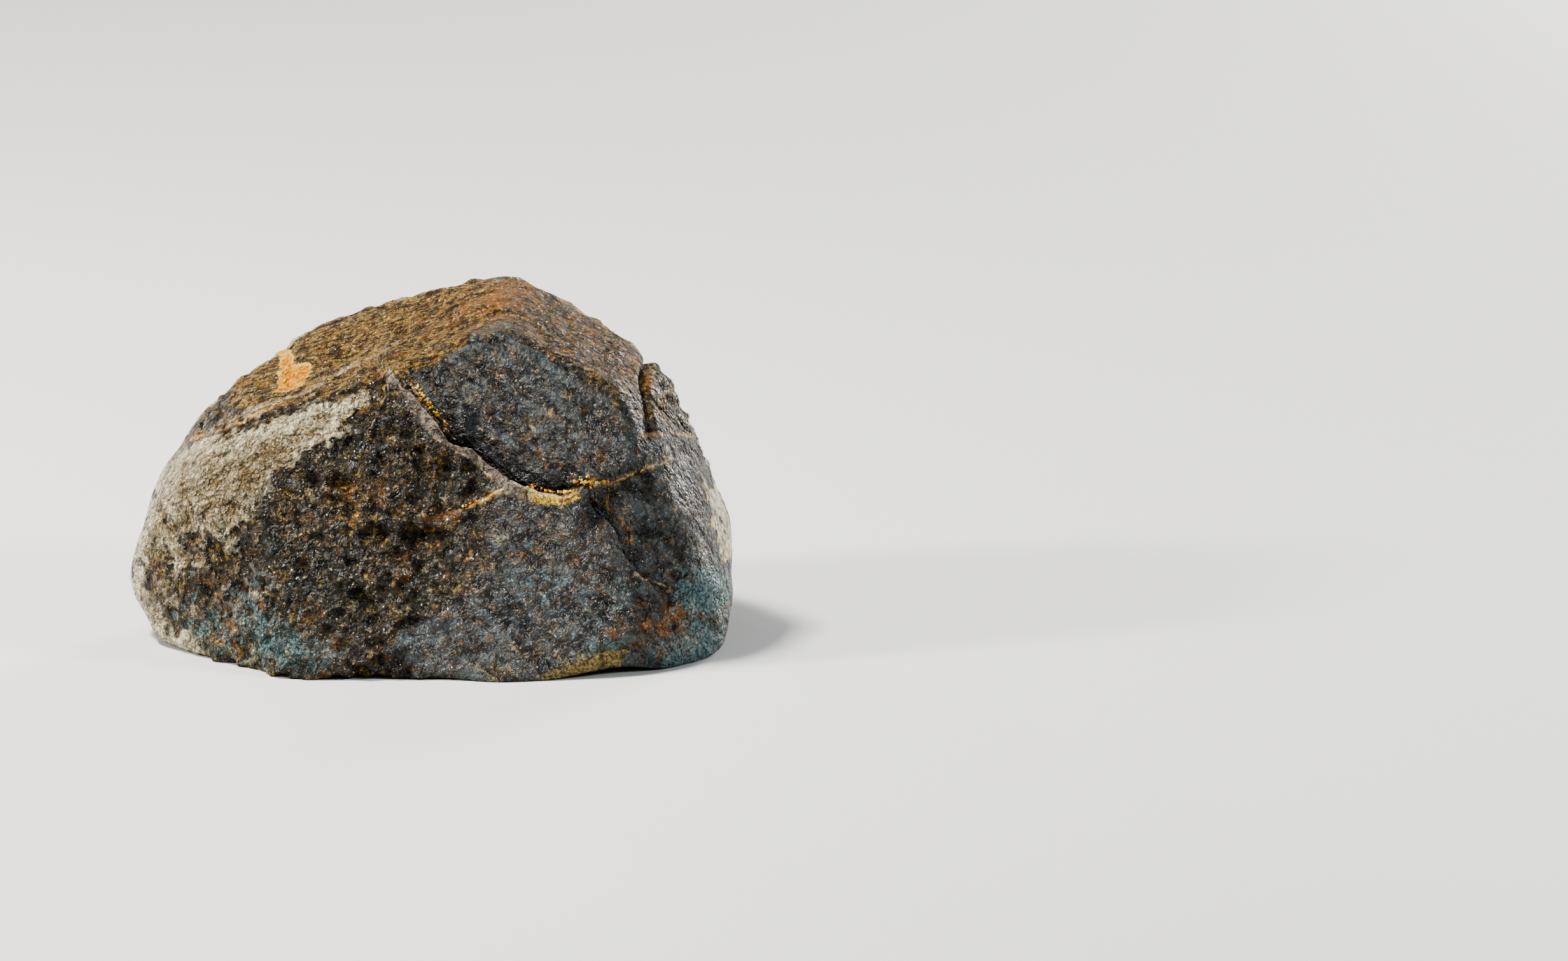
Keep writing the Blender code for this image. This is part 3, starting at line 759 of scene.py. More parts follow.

# %% [markdown]
# Lines of colour
#
# Thin veins and the walls of the cracks carry their own colours: a pinkish grey lip along the front
# crack, orange veins where iron has seeped, yellow grains in the wider gaps. Painted light lies along
# them too: painted shade inside the open cracks and beside the lip, and painted highlights on the lip's
# edges and along the pale lines where edges catch the light. They are kept with the skin as distances
# in millimetres, so the finish can draw lines much finer than the net.

# %% Veins
# kind of vein: side and route
VEINS = {
    "orange": (
        ("front", ((19.9, 40.2), (17, 37.7), (14.1, 35.8), (10.2, 34), (6.3, 32.4))),
        ("front", ((39, 39.2), (43, 38.6), (47, 39.3), (50.5, 41), (54.5, 42.6), (58.5, 44.2))),
        ("front", ((-61, 49.5), (-56, 51.5), (-50, 53.5), (-44, 56.5), (-38, 59.6))),
        ("front", ((-5.5, 64.2), (-1, 59.5), (2.5, 55.5), (5, 52))),
        ("front", ((52, 50.5), (58, 50.4), (62, 50.2), (66, 50))),
        ("back", ((-57.5, 53), (-57, 48), (-56, 43.5), (-54.2, 38.5), (-52.8, 35.3), (-50.6, 31),
            (-49, 27.6))),
    ),
    "faint": (
        ("front", ((45.2, 58.8), (45.6, 57), (44.8, 54.8), (44.2, 51.5), (43.3, 49), (42.6, 46),
            (41.3, 43.6))),
        ("front", ((6.3, 32.4), (1.4, 29.8), (-2.5, 25.6), (-6.4, 21.7), (-8.6, 17), (-10.2, 14.4))),
        ("front", ((0, 6.8), (5, 6.2), (8.5, 5), (11.5, 4))),
        ("front", ((8, 17), (12, 18), (15.5, 19.2), (18, 21), (22, 21.6), (26, 22))),
        ("front", ((45, 35), (47, 31), (50, 27), (51, 23))),
        ("front", ((28, 58), (31, 54), (35, 51))),
    ),
    # pale lines along ridges and crack edges: partly paler crust, partly painted highlight where the edges
    # catch the light
    "light": (
        ("front", ((-50, 55), (-45, 57.2), (-40, 59.5), (-34, 61.6), (-28, 64), (-22, 67.2), (-17, 69.8),
            (-12, 73), (-9, 74.6))),
        ("front", ((50, 16), (53, 14.6), (56, 13.2), (59, 11.5))),
        ("front", ((-38, 46), (-33, 48), (-28, 50.4), (-24, 53.4))),
        ("back", ((-28, 17.6), (-25, 15.6), (-22.8, 12.6), (-21, 9))),
        ("back", ((-14.8, -0.6), (-13.8, -4), (-13, -8))),
        ("back", ((41, -1), (44, -3.6), (47, -6.6), (49, -9))),
        ("back", ((6.5, 28.6), (10.5, 27.4), (13.4, 25.2), (15.2, 22))),
        ("back", ((-53.5, 33), (-51.5, 28), (-49.4, 24.4), (-46.5, 21.8))),
        ("back", ((30, 17), (31.5, 15.6), (33.4, 14.4))),
    ),
    "dark": (
        ("front", ((23.2, 27.6), (25, 26), (26.6, 23.8), (28.2, 21.6))),
        ("front", ((-66.6, 26.6), (-66.4, 24.2), (-65.6, 21.6))),
        ("front", ((-58, 31.6), (-53, 33.6), (-50, 35))),
        ("front", ((-60, 49.2), (-52, 52.4), (-46, 54.6), (-40, 56), (-32, 58), (-24, 60), (-16, 63.2),
            (-10, 65.6))),
        ("front", ((47, 56.6), (52, 53.4), (56, 51), (60, 49.4), (64.5, 46), (66, 43))),
        ("back", ((-19.2, 5.6), (-18.4, 4), (-17.2, 2.6))),
        ("back", ((-29, 40), (-28.6, 35), (-28.8, 31))),
        ("back", ((30, 27), (31.4, 23.8), (30.4, 20.6))),
    ),
}

# %% Distances to the lines
FARTHEST = 12.0  # distances are kept up to here
SEEN = 0.02  # how well the eye has to see a point to draw a vein there
OPEN_CRACKS = ("front, main", "front, right branch", "back, main", "back, arc", "back, gap")
LIP_ALONG = (0.0, 0.15, 0.35, 0.50, 0.68, 0.80, 1.0)  # places along the front crack
LIP_WIDTH = (2.8, 4.6, 3.4, 3.2, 5.0, 2.6, 1.6)  # and how wide its lip is there


def line_distance(side, route):
    """Distance to a route on one of the drawings, and far away where that side isn't seen."""
    places, in_sight = on_drawing(side)
    signed, _ = beside_route(places + shake, smooth_route(route))
    return np.where(in_sight > SEEN, np.minimum(np.abs(signed), FARTHEST), FARTHEST)


def crack_distance(name):
    """Signed distance to a crack, and far away on the other side of the stone."""
    signed, _, belongs = measured[name]
    return np.where(belongs > ON_ITS_SIDE, np.clip(signed, -FARTHEST, FARTHEST), FARTHEST)


lines = {
    f"{kind}_line": np.min([line_distance(side, route) for side, route in routes], axis=0)
    for kind, routes in VEINS.items()
}
lines["fissure"] = np.min([np.abs(crack_distance(name)) for name in OPEN_CRACKS], axis=0)
lines["dip"] = crack_distance("front, main")
lines["lip"] = lines["dip"] / np.interp(main_along, LIP_ALONG, LIP_WIDTH)  # -1 at its lower edge
lines["lip_end"] = main_along
print({kind: round(float(values.min()), 3) for kind, values in lines.items()})

# %% [markdown]
# The skin
#
# The net becomes one closed mesh with its patches and lines as point attributes. It stands for the
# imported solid, which stays for physics, so the distance between the two is measured and printed.


# %% The skin
def keep(mesh, name, values, kind="FLOAT"):
    """Keeps a number with every point of a mesh."""
    layer = mesh.attributes.new(name, kind, "POINT")
    layer.data.foreach_set("value", np.array(values, np.float32 if kind == "FLOAT" else np.int32))


skin_mesh = bpy.data.meshes.new("stone_skin")
net.to_mesh(skin_mesh)
net.free()
skin_mesh.shade_smooth()
skin = placed("stone_skin", skin_mesh)
for name, values in {**patches, **lines}.items():
    keep(skin_mesh, name, values)

solid_tree = BVHTree.FromObject(solid, bpy.context.evaluated_depsgraph_get())
apart = np.array([solid_tree.find_nearest(Vector(point))[3] for point in points[::7]]) / MM
print(f"skin to solid: {apart.mean():.2f} mm on average, {apart.max():.2f} mm at most")
print(len(skin_mesh.polygons), "triangles in the skin")

# %% [markdown]
# A way to write finishes
#
# A finish is a tree of nodes. Wiring hundreds of Math nodes by hand hides what is worked out, so a
# number that changes over the surface is wrapped in a small class: adding or multiplying two of them
# adds the Math node. Every other node comes from one method.


# %% Numbers on a surface
class Amount:
    """A number that changes over the surface. Sums on it add Math nodes to its finish."""

    def __init__(self, finish, socket):
        self.finish = finish
        self.socket = socket

    def worked(self, operation, *numbers):
        """What a Math node makes of the numbers."""
        node = self.finish.node("ShaderNodeMath", {"operation": operation}, dict(enumerate(numbers)))
        return Amount(self.finish, node.outputs[0])

    def __add__(self, other):
        return self.worked("ADD", self, other)

    def __sub__(self, other):
        return self.worked("SUBTRACT", self, other)

    def __rsub__(self, other):
        return self.worked("SUBTRACT", other, self)

    def __mul__(self, other):
        return self.worked("MULTIPLY", self, other)

    def __abs__(self):
        return self.worked("ABSOLUTE", self)

    def over(self, low, high):
        """0 below low, 1 above high and an S-curve between; low may be the higher one."""
        node = self.finish.node(
            "ShaderNodeMapRange",
            {"interpolation_type": "SMOOTHSTEP"},
            {"Value": self, "From Min": low, "From Max": high},
        )
        return Amount(self.finish, node.outputs["Result"])

    def clipped(self):
        """The number kept between 0 and 1."""
        return Amount(self.finish, self.finish.node("ShaderNodeClamp", {}, {"Value": self}).outputs[0])


# %% Trees of nodes
def fill_ramp(ramp, colours):
    """Gives a colour ramp one even, hard step for each colour."""
    ramp.interpolation = "CONSTANT"
    for i, colour in enumerate(colours):
        place = i / len(colours)
        stop = ramp.elements[i] if i < 2 else ramp.elements.new(place)
        stop.position, stop.color = place, colour


class Tree:
    """A tree of nodes and the one method that adds to it."""

    def __init__(self, tree):
        self.tree = tree

    def node(self, kind, settings=None, sockets=None):
        """Adds a node: its settings or a ramp's stops first, then its sockets' values or links."""
        node = self.tree.nodes.new(kind)
        for name, value in (settings or {}).items():
            if name == "stops":
                fill_ramp(node.color_ramp, value)
            else:
                setattr(node, name, value)
        for name, value in (sockets or {}).items():
            self.feed(node.inputs[name], value)
        return node

    def feed(self, target, value):
        """Links or sets one socket."""
        if isinstance(value, Amount):
            value = value.socket
        if isinstance(value, bpy.types.NodeSocket):
            self.tree.links.new(value, target)
        else:
            target.default_value = value


# %% A finish
class Finish(Tree):
    """A material with textures sized in mm on its piece."""

    def __init__(self, name):
        self.material = bpy.data.materials.new(name)
        self.material.use_nodes = True
        super().__init__(self.material.node_tree)
        place = self.node("ShaderNodeTexCoord").outputs["Object"]
        scaled = {0: place, "Scale": 1.0 / MM}
        self.place = self.node("ShaderNodeVectorMath", {"operation": "SCALE"}, scaled).outputs[0]

    def show(self, **inputs):
        """Feeds the shader: Base_Color, Roughness and so on."""
        for name, value in inputs.items():
            self.feed(self.tree.nodes["Principled BSDF"].inputs[name.replace("_", " ")], value)

    def turned(self, vector, angles, stretch):
        """A vector turned by angles in degrees and divided by the stretch, for grain that runs."""
        rotation = [math.radians(angle) for angle in angles]
        sockets = {"Vector": vector, "Rotation": rotation, "Scale": stretch}
        return self.node("ShaderNodeMapping", {"vector_type": "TEXTURE"}, sockets).outputs[0]

    def noise(self, size, vector=None, detail=4.0, roughness=0.55):
        """Noise about 0.5 with features of that size."""
        sockets = {"Scale": 1.0 / size, "Detail": detail, "Roughness": roughness}
        node = self.node("ShaderNodeTexNoise", {}, {"Vector": vector or self.place, **sockets})
        return Amount(self, node.outputs["Fac"])

    def cells(self, size, vector, feature="F1"):
        """Cells of that size: the outputs Distance, and Color for one random colour per cell."""
        sockets = {"Vector": vector, "Scale": 1.0 / size}
        return self.node("ShaderNodeTexVoronoi", {"feature": feature}, sockets).outputs

    def attribute(self, name):
        """A number that is kept with the mesh."""
        return Amount(self, self.node("ShaderNodeAttribute", {"attribute_name": name}).outputs["Fac"])

    def mixed(self, share, first, second):
        """The first colour, with that share of the second."""
        sockets = {0: share, 6: first, 7: second}
        return self.node("ShaderNodeMix", {"data_type": "RGBA"}, sockets).outputs[2]

    def part_of(self, colour, channel):
        """One channel of a colour or a vector, as a number."""
        return Amount(self, self.node("ShaderNodeSeparateColor", {}, {0: colour}).outputs[channel])


def tone(red, green, blue):
    """A colour from its 0 to 255 values as the eye sees them, made linear for the shader."""
    return (*(((value / 255 + 0.055) / 1.055) ** 2.4 for value in (red, green, blue)), 1.0)


# %% [markdown]
# The stone's finish
#
# One finish covers the whole stone, because its patches run into each other. Close up, no part of the
# crust has one colour: it is a crowd of flecks, dark, rusty, tan and bluish, each about a millimetre
# wide. A blend of flat colours looks painted. So each tone is laid down as flecks, from its own
# noise, and a patch only changes how many of them there are. The same noises shape the fine relief.

# %% Noises that the tones and the relief share
RIGHT_GRAIN = (0, 38, -12)  # the way the grain runs right of the peak, in degrees

crust = Finish("weathered_crust")
swirl = crust.node("ShaderNodeTexNoise", {}, {"Vector": crust.place, "Scale": 0.8}).outputs["Color"]
warped = crust.node(
    "ShaderNodeVectorMath",
    {"operation": "MULTIPLY_ADD"},
    {0: swirl, 1: (1.4, 1.4, 1.4), 2: crust.place},
).outputs[0]


def elsewhere(shift):
    """The same surface, looked up in another part of the endless noise."""
    sockets = {0: warped, 1: (shift, -shift, 2 * shift)}
    return crust.node("ShaderNodeVectorMath", {"operation": "ADD"}, sockets).outputs[0]


broad = crust.noise(12.0, detail=3.0)
medium = crust.noise(4.5, roughness=0.60)
small = crust.noise(2.0, elsewhere(30), roughness=0.60)
fine = crust.noise(0.8, elsewhere(60), 3.0, 0.62)
rust_noise = crust.noise(3.4, elsewhere(90), roughness=0.68)
tan_noise = crust.noise(2.2, elsewhere(120), roughness=0.66)
grey_noise = crust.noise(2.8, elsewhere(150), roughness=0.66)
dark_noise = crust.noise(3.0, elsewhere(180), roughness=0.66)
left_streaks = crust.noise(0.9, crust.turned(warped, (0, -20, -6), (4.5, 1, 1)), 3.0, 0.65)
right_streaks = crust.noise(0.9, crust.turned(warped, RIGHT_GRAIN, (4.5, 1, 1)), 3.0, 0.65)
side_of_peak = crust.part_of(crust.place, 0).over(12.0, 22.0)
streaks = left_streaks + side_of_peak * (right_streaks - left_streaks)
waves = crust.noise(3.6, crust.turned(warped, RIGHT_GRAIN, (3, 1, 1)), 3.0, 0.6)
shear_noise = crust.noise(0.9, crust.turned(warped, (0, 38, 60), (6, 1, 1)), 3.0)
plates = Amount(crust, crust.cells(3.3, warped, "DISTANCE_TO_EDGE")["Distance"])
small_plates = Amount(crust, crust.cells(1.3, warped, "DISTANCE_TO_EDGE")["Distance"])
knobs = Amount(crust, crust.cells(2.0, warped)["Distance"])
sparkle_cells = crust.cells(0.8, warped)
sparkle = crust.part_of(sparkle_cells["Color"], 0)
sparkle_heart = Amount(crust, sparkle_cells["Distance"])
print(len(crust.tree.nodes), "nodes for the shared noises")

# %% Patches
pale, beige, brown, slab, cut, teal = map(
    crust.attribute, ("pale", "beige", "brown", "slab", "cut", "teal")
)
rust, ochre, glint, orange, chalk, tarnish = map(
    crust.attribute, ("rust", "ochre", "glint", "orange", "chalk", "tarnish")
)


def ragged(weight, width=0.16, patchy=0.8):
    """A patch's weight with its edge broken up by the noises, and gaps where it is patchy."""
    broken = weight + (medium - 0.5) * patchy + (small - 0.5) * 0.9
    return broken.over(0.5 - width, 0.5 + width)


pale_here = ragged(pale * 0.96, 0.24, 2.2)
beige_here = ragged(beige * 0.95, 0.42, 1.4)
brown_here = ragged(brown)
slab_here = ragged(slab, 0.3)
cut_here = ragged(cut)
tarnished = tarnish * pale_here
streaky = slab_here * 0.6 + brown_here
# the back's paler tone fades towards the bottom of the stone: painted shade, as if the light fell from above
high = crust.part_of(crust.place, 2).over(8.0, 48.0)
behind = crust.part_of(crust.place, 1).over(5.0, 25.0) * (high * 0.65 + 0.35)


# %% Ground tones
class Coat:
    """A colour that is built up layer by layer."""

    def __init__(self, colour):
        self.colour = colour

    def lay(self, share, colour):
        """Covers that share of what is there with another colour."""
        self.colour = crust.mixed(share, self.colour, colour)


def tones(low, high, noise, spread=0.16):
    """A colour that runs from one tone to another with the noise."""
    return crust.mixed(noise.over(0.5 - spread, 0.5 + spread), tone(*low), tone(*high))


coat = Coat(tones((32, 31, 27), (92, 82, 62), small))
# the paler back, thinned out low down by that painted shade
coat.lay(behind * 0.8, tones((58, 54, 45), (118, 110, 92), small))
coat.lay(slab_here, tones((32, 34, 35), (94, 98, 96), waves, 0.12))
coat.lay(brown_here * (1.0 - side_of_peak * 0.75), tones((44, 30, 10), (112, 76, 26), streaks))
coat.lay(beige_here, tones((92, 86, 68), (178, 166, 136), small))
# the pale shoulder's brightest tone is partly painted highlight on its glossy plates
coat.lay(pale_here, tones((138, 114, 72), (255, 246, 212), medium + 0.06, 0.11))
coat.lay(tarnished, tones((88, 68, 40), (178, 148, 102), streaks))
coat.lay(cut_here, tones((34, 36, 36), (116, 118, 110), shear_noise))
print(len(crust.tree.nodes), "nodes with the ground tones")


# %% Flecks of every tone
def flecks(noise, share, softness=0.05):
    """1 where the noise is among its highest, over about that share (0 to 1) of the surface."""
    return (noise + share * 0.42).over(0.70 - softness, 0.70 + softness)


# How many flecks of a tone there are: a share everywhere, and more or fewer of them in each patch
clouds = broad - 0.5
# the back has fewer dark flecks, less so low down: part of the painted shade there
dark_share = tarnished * 0.15 - behind * 0.14 - pale_here * 0.34 - beige_here * 0.20 - slab_here * 0.10 + 0.46
coat.lay(flecks(dark_noise + streaky * (streaks - 0.5) * -0.5, dark_share) * 0.75, tone(24, 21, 19))
brown_share = tarnished * 0.5 - pale_here * 0.06 + clouds * 0.7 + 0.34
coat.lay(flecks(small, brown_share, 0.10) * 0.55, tone(96, 76, 46))
# in the spots of painted sheen there are more grey flecks, a painted reflection
grey_share = slab_here * 0.16 + glint * 0.5 - brown_here * 0.12 + 0.14
coat.lay(flecks(grey_noise, grey_share, 0.08) * 0.5, tone(106, 118, 122))
tan_share = brown_here * (0.24 - side_of_peak * 0.20) + beige_here * 0.26 - slab_here * 0.20
tan_flecks = flecks(tan_noise + streaky * (streaks - 0.5) * 0.7, tan_share + clouds * 0.5 + 0.22)
coat.lay(tan_flecks * 0.65, tones((134, 108, 50), (208, 178, 106), fine))
rust_share = rust * 0.55 + brown_here * 0.16 - slab_here * 0.02 + clouds * 0.5 + 0.07
coat.lay(flecks(rust_noise, rust_share, 0.09) * 0.7, tones((106, 64, 28), (190, 130, 64), fine))
teal_flecks = flecks(grey_noise, teal * 0.95 - 0.10, 0.12)
coat.lay(teal_flecks * 0.62, tones((44, 74, 82), (144, 178, 178), fine))
ochre_flecks = flecks(tan_noise, ochre * 0.75 - 0.08, 0.08)
coat.lay(ochre_flecks * 0.7, tones((104, 86, 40), (216, 188, 116), fine))
# white flecks: the crust's own white grains, and on the pale shoulder also painted highlights
white_share = beige_here * 0.16 + (pale_here - tarnished * 0.7) * 0.36 + brown_here * 0.04
coat.lay(flecks(fine, white_share, 0.10) * 0.75, tone(240, 232, 206))
print(len(crust.tree.nodes), "nodes with the flecks")

# %% Plates, and patches with one tone
plate_gap = plates.over(0.09, 0.02) * broad.over(0.40, 0.60)
small_gap = small_plates.over(0.16, 0.03) * medium.over(0.40, 0.62)
coat.lay((plate_gap + small_gap * 0.8).clipped() * pale_here * 0.60, tone(84, 68, 46))
orange_here = (orange + (small - 0.5) * 0.8).over(0.38, 0.55)
coat.lay(orange_here, tones((222, 140, 34), (246, 190, 84), small))
coat.lay(orange_here * orange.over(0.80, 0.50) * 0.7, tone(246, 216, 132))
chalk_here = (chalk * 0.72 + (medium - 0.5) * 2.0 + (small - 0.5) * 0.8).over(0.42, 0.54)
chalk_inside = tones((176, 162, 120), (252, 244, 220), small)
coat.lay(chalk_here, crust.mixed(chalk.over(0.70, 0.88), tone(236, 208, 128), chalk_inside))

# %% Veins
orange_line, faint_line, pale_and_highlight_line, dark_line = (crust.attribute(f"{kind}_line") for kind in VEINS)
seep = orange_line.over(1.4, 0.3) * flecks(tan_noise, 0.48, 0.06)
core = orange_line.over(0.55, 0.15) * flecks(grey_noise, 0.52, 0.07)
coat.lay((seep * 0.55 + core * 0.8).clipped(), tones((170, 112, 56), (240, 208, 150), small))
hint = faint_line.over(1.2, 0.1) * flecks(tan_noise, 0.40, 0.05)
coat.lay(hint * 0.65, tones((150, 96, 52), (212, 168, 104), fine))
# pale lines: partly the crust's own paler tone, partly painted highlight on edges
pale_wisp_and_highlight = pale_and_highlight_line.over(0.9, 0.25) * flecks(grey_noise, 0.48, 0.08)
coat.lay(pale_wisp_and_highlight * 0.7, tones((166, 138, 104), (228, 210, 178), fine))
coat.lay(dark_line.over(0.55, 0.12) * 0.8, tone(30, 24, 20))

# %% The lip of the front crack, the painted shade beside it and the fissures
fissure, lip_end, dip = map(crust.attribute, ("fissure", "lip_end", "dip"))
lip = crust.attribute("lip") + (medium - 0.5) * 0.5
upper_part = lip_end.over(0.70, 0.62)
on_lip = lip.over(-1.15, -0.75) * lip.over(0.15, 0.0) * upper_part
coat.lay(on_lip * 0.92, tones((86, 78, 68), (176, 162, 144), small))
gritty = lip.over(-0.9, -0.6) * lip.over(0.3, 0.0) * lip_end.over(0.64, 0.70) * lip_end.over(0.90, 0.84)
grit = tones((150, 104, 20), (255, 226, 96), fine, 0.10)
coat.lay(gritty * flecks(tan_noise, 0.70, 0.10) * 0.9, grit)
# painted highlights along both edges of the lip, where they catch the light, in a pinkish cream
upper_edge_highlight = abs(lip + 0.10).over(0.30, 0.10) * grey_noise.over(0.36, 0.48)
lower_edge_highlight = abs(lip + 0.92).over(0.14, 0.03) * tan_noise.over(0.50, 0.58) * upper_part
rim = (upper_edge_highlight + lower_edge_highlight).clipped()
coat.lay(rim * 0.8, tones((186, 148, 112), (240, 222, 194), fine))
# painted shadow: the dark band that the proud lip casts onto the sunken slab
shade = dip.over(7.5, 1.5) * dip.over(-0.2, 0.2) * lip_end.over(0.15, 0.45) * lip_end.over(1.0, 0.85)
coat.lay(shade * 0.92, tone(15, 13, 11))
# the open cracks, painted near black: painted shade inside the gaps
coat.lay(fissure.over(0.75, 0.15) * 0.85, tone(16, 12, 10))
print(len(crust.tree.nodes), "nodes with the lines")

# %% Gloss and relief
sparkles = sparkle.over(0.93, 0.96) * sparkle_heart.over(0.36, 0.26) * (1.0 - slab_here * 0.5)
coat.lay(sparkles * 0.8, tones((190, 160, 110), (242, 238, 228), tan_noise))
gloss = brown_here * 0.12 - slab_here * 0.03 - pale_here * 0.06 + (fine - 0.5) * 0.5 + 0.34

coarse = pale_here * 0.3 - slab_here * 0.50 - cut_here * 0.3 + 1.0
depth = ((medium - 0.5) * 7.0 + (small - 0.5) * 3.6 - knobs * knobs * 1.8) * coarse
depth = depth + (fine - 0.5) * 0.9 + (streaks - 0.5) * streaky * 1.4 + (waves - 0.5) * slab_here * 5.0
depth = depth + (shear_noise - 0.5) * cut_here * 1.2 + plates.over(0.0, 0.30) * pale_here * 1.4
depth = depth - dark_line.over(0.6, 0.0) * 0.5 + pale_and_highlight_line.over(0.8, 0.0) * 0.10 + rim * 0.15
bump = crust.node("ShaderNodeBump", {}, {"Height": depth, "Distance": MM, "Strength": 1.0})
crust.show(
    Base_Color=coat.colour,
    Roughness=gloss.clipped(),
    Metallic=sparkles * 0.6,
    Normal=bump.outputs["Normal"],
)
skin_mesh.materials.append(crust.material)
print(len(crust.tree.nodes), "nodes in the crust's finish")

# %% [markdown]
# Grains on the crust
#
# Up close the crust is set with countless tiny grains, white, yellow and rusty, that stand proud and
# catch the light. Painted dots would stay flat from the side. Here a Geometry Nodes tree scatters real
# grains of 20 faces over the skin, more where the crust is rough. Each one keeps a random tone for its
# finish.

# %% A recipe for scattered pieces
FULL_TURN = 6.28  # radians


class Recipe(Tree):
    """A Geometry Nodes tree with named inputs, and the modifier that runs it once."""

    def __init__(self, name, sizes):
        super().__init__(bpy.data.node_groups.new(name, "GeometryNodeTree"))
        for way in ("INPUT", "OUTPUT"):
            self.tree.interface.new_socket("Geometry", in_out=way, socket_type="NodeSocketGeometry")
        self.values = {}
        for title, value in sizes.items():
            socket = self.tree.interface.new_socket(title, in_out="INPUT", socket_type="NodeSocketFloat")
            self.values[socket.identifier] = value
        self.sizes = self.node("NodeGroupInput").outputs

    def stored(self, name, kind="FLOAT"):
        """A number that is kept with the points."""
        node = self.node("GeometryNodeInputNamedAttribute", {"data_type": kind}, {"Name": name})
        return node.outputs["Attribute"]

    def random(self, low, high, seed):
        """A random number from low to high for each element, or a random vector."""
        kind, first = ("FLOAT_VECTOR", 0) if isinstance(low, tuple) else ("FLOAT", 2)
        sockets = {first: low, first + 1: high, "Seed": seed}
        return self.node("FunctionNodeRandomValue", {"data_type": kind}, sockets).outputs[first // 2]

    def scaled(self, vector, factor):
        """A vector times a number."""
        sockets = {0: vector, "Scale": factor}
        return self.node("ShaderNodeVectorMath", {"operation": "SCALE"}, sockets).outputs[0]

    def scatter(self, points, facets, material):
        """Puts a small crooked ball on each point, each with its own tone, and ends the tree."""
        ball = self.node("GeometryNodeMeshIcoSphere", {}, {"Radius": 1.0, "Subdivisions": facets})
        size = self.random(self.sizes["Smallest"], self.sizes["Largest"], 3)
        balls = self.node(
            "GeometryNodeInstanceOnPoints",
            {},
            {
                "Points": points,
                "Instance": ball.outputs["Mesh"],
                "Rotation": self.random((0.0, 0.0, 0.0), (FULL_TURN, FULL_TURN, FULL_TURN), 2),
                "Scale": self.scaled(self.random((0.6, 0.5, 0.4), (1.3, 1.0, 0.8), 5), size),
            },
        )
        toned = self.node(
            "GeometryNodeStoreNamedAttribute",
            {"data_type": "FLOAT", "domain": "INSTANCE"},
            {"Geometry": balls.outputs[0], "Name": "tone", "Value": self.random(0.0, 1.0, 4)},
        )
        real = self.node("GeometryNodeRealizeInstances", {}, {0: toned.outputs[0]})
        sockets = {"Geometry": real.outputs[0], "Material": material}
        finished = self.node("GeometryNodeSetMaterial", {}, sockets)
        self.node("NodeGroupOutput", {}, {0: finished.outputs[0]})

    def made_from(self, source_mesh, name):
        """Runs the recipe on a mesh and returns the result as a plain object."""
        source = placed(name + " source", source_mesh)
        modifier = source.modifiers.new(name, "NODES")
        modifier.node_group = self.tree
        for identifier, value in self.values.items():
            modifier[identifier] = value
        evaluated = source.evaluated_get(bpy.context.evaluated_depsgraph_get())
        mesh = bpy.data.meshes.new_from_object(evaluated)
        bpy.data.objects.remove(source)
        mesh.name = name
        print(f"{name}: {len(mesh.polygons)} faces")
        return placed(name, mesh)


def grain_finish(name, grain_tones, roughness, metallic):
    """A finish whose colour is picked by each grain's own tone."""
    finish = Finish(name)
    stops = [tone(*grain_tone) for grain_tone in grain_tones]
    ramp = finish.node("ShaderNodeValToRGB", {"stops": stops}, {"Fac": finish.attribute("tone")})
    finish.show(Base_Color=ramp.outputs["Color"], Roughness=roughness, Metallic=metallic)
    return finish.material


# %% Scattering the grains
GRAIN_TONES = (
    (222, 214, 194), (176, 142, 88), (128, 88, 52), (200, 172, 118), (96, 88, 78), (160, 168, 172),
)
GRAIN_SIZES = {"Density": 60000.0, "Smallest": 0.10 * MM, "Largest": 0.34 * MM}  # per square metre, m
OFF_THE_TABLE = (1.2 * MM, 2.5 * MM)  # the grains begin between these heights
SMOOTH_SHARE, SLAB_LOSS = 0.25, 0.6  # of the grains: kept on smooth faces, missing on the slab

grit_share = SMOOTH_SHARE + (1.0 - SMOOTH_SHARE) * np.maximum(rough, top_share)
grit_share *= smooth_step(*OFF_THE_TABLE, points[:, 2]) * (1.0 - SLAB_LOSS * patches["slab"])
keep(skin_mesh, "grit_share", grit_share)

grains_recipe = Recipe("mineral_grains", GRAIN_SIZES)
density = grains_recipe.node(
    "ShaderNodeMath",
    {"operation": "MULTIPLY"},
    {0: grains_recipe.stored("grit_share"), 1: grains_recipe.sizes["Density"]},
)
spread = grains_recipe.node(
    "GeometryNodeDistributePointsOnFaces",
    {"distribute_method": "RANDOM"},
    {"Mesh": grains_recipe.sizes["Geometry"], "Density": density.outputs[0], "Seed": 11},
)
grain_material = grain_finish("mineral_grains", GRAIN_TONES, 0.30, 0.35)
grains_recipe.scatter(spread.outputs["Points"], 1, grain_material)
grains = grains_recipe.made_from(skin_mesh, "mineral_grains")

# %% [markdown]
# The fill of the cracks
#
# Yellow and orange grains have grown in the wider gaps: a bright run and a small cluster at the fork of
# the front crack, a rusty seam at its top, another down the crack at the back. They could be painted,
# but they stand out of the gap. Each run is a route on a drawing, dropped onto the skin from the eye,
# and the tree heaps a few nuggets around every point of it.

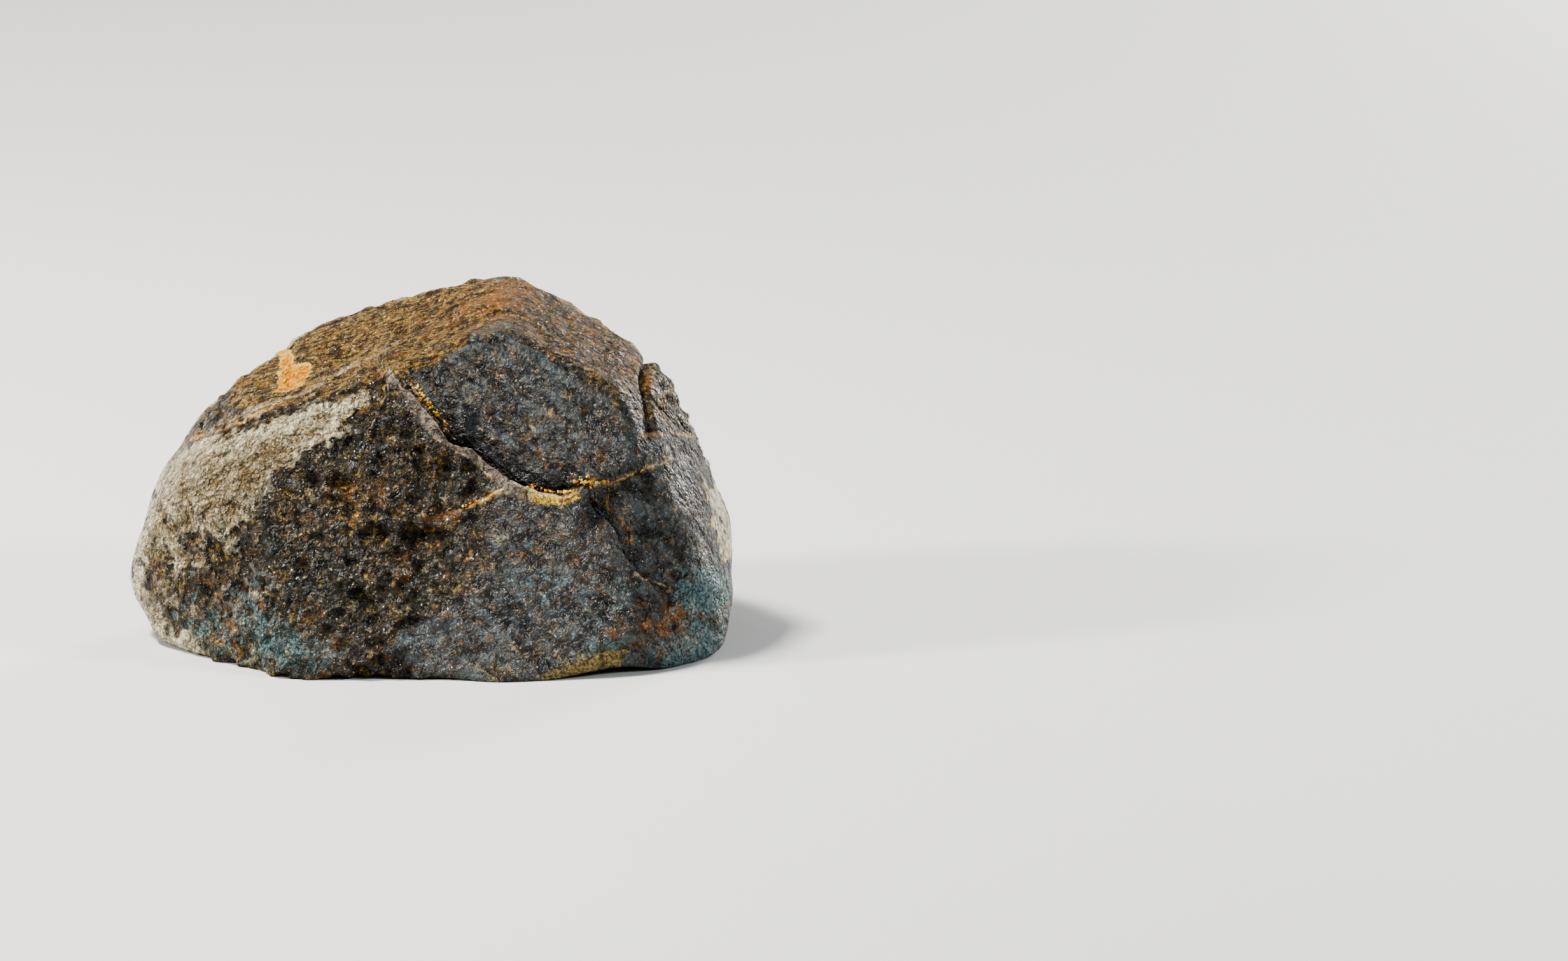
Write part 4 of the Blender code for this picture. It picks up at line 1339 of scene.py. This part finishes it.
# %% The runs of fill
# run: side, half-width of the heap, nuggets per point, and the route
FILLS = {
    "bright run": ("front", 0.50, 6, ((23.5, 38), (26.5, 37.3), (29.5, 36.5), (32.5, 36.1), (34.4, 36.8))),
    "cluster": ("front", 0.95, 10, ((35.4, 38.6), (36.6, 39.6), (38, 39.4), (37.2, 38.4), (38.6, 38.2))),
    "past the cluster": ("front", 0.35, 3, ((39, 39.2), (41, 38.9), (43.5, 39))),
    "seam at the top": ("front", 0.45, 4, ((-3.6, 62.4), (-1.4, 59.4), (0.8, 56.6), (3, 54), (4.8, 52.2))),
    "left vein": ("front", 0.40, 3, ((7, 33.2), (9.4, 34.2), (12, 34.8), (14, 35.6))),
    "back seam": ("back", 0.50, 3, ((-57.2, 50), (-56, 44), (-54, 38.2), (-52.4, 34.6), (-50.2, 30.6),
        (-48.6, 27.4), (-45.6, 25))),
}
FILL_STEP = 0.8  # between the points of a run
FILL_SINK = 0.2 * MM  # how far the points lie under the skin
OUTSIDE = 0.3  # m from the middle of a drawing, well clear of the stone

skin_tree = BVHTree.FromObject(skin, bpy.context.evaluated_depsgraph_get())


def onto_the_skin(side, place):
    """The point of the skin that the eye sees at a place on that side's drawing."""
    right, up, towards = view_axes(side)
    start = Vector((right * place[0] + up * place[1]) * MM + towards * OUTSIDE)
    return skin_tree.ray_cast(start, -Vector(towards))[0] - Vector(towards) * FILL_SINK


fill_points, fill_widths, fill_counts = [], [], []
for side, half_width, nuggets, corners in FILLS.values():
    route = smooth_route(corners, 12)
    lengths = np.concatenate(([0.0], np.cumsum(np.linalg.norm(np.diff(route, axis=0), axis=1))))
    for length in np.arange(0.0, lengths[-1], FILL_STEP):
        place = [np.interp(length, lengths, route[:, axis]) for axis in (0, 1)]
        fill_points.append(onto_the_skin(side, place))
        fill_widths.append(half_width * MM)
        fill_counts.append(nuggets)
fill_mesh = bpy.data.meshes.new("fill_points")
fill_mesh.from_pydata(fill_points, [], [])
keep(fill_mesh, "heap", fill_widths)
keep(fill_mesh, "nuggets", fill_counts, "INT")
print(len(fill_points), "points of fill")

# %% Heaping the nuggets
FILL_TONES = ((240, 186, 46), (250, 220, 120), (206, 128, 40), (232, 170, 70), (246, 234, 180))
FILL_SIZES = {"Smallest": 0.20 * MM, "Largest": 0.55 * MM}

fill_recipe = Recipe("fissure_fill", FILL_SIZES)
dots = fill_recipe.node("GeometryNodeMeshToPoints", {}, {"Mesh": fill_recipe.sizes["Geometry"]})
heaped = fill_recipe.node(
    "GeometryNodeDuplicateElements",
    {"domain": "POINT"},
    {"Geometry": dots.outputs[0], "Amount": fill_recipe.stored("nuggets", "INT")},
)
anywhere = fill_recipe.random((-1.0, -1.0, -1.0), (1.0, 1.0, 1.0), 6)
offset = fill_recipe.scaled(anywhere, fill_recipe.stored("heap"))
sockets = {"Geometry": heaped.outputs[0], "Offset": offset}
moved = fill_recipe.node("GeometryNodeSetPosition", {}, sockets)
fill_recipe.scatter(moved.outputs[0], 2, grain_finish("fissure_grains", FILL_TONES, 0.42, 0.0))
fill = fill_recipe.made_from(fill_mesh, "fissure_fill")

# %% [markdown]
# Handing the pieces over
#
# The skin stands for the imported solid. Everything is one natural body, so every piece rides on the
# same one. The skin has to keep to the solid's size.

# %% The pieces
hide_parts("meteorite")
for piece in (skin, grains, fill):
    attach(piece, "root")
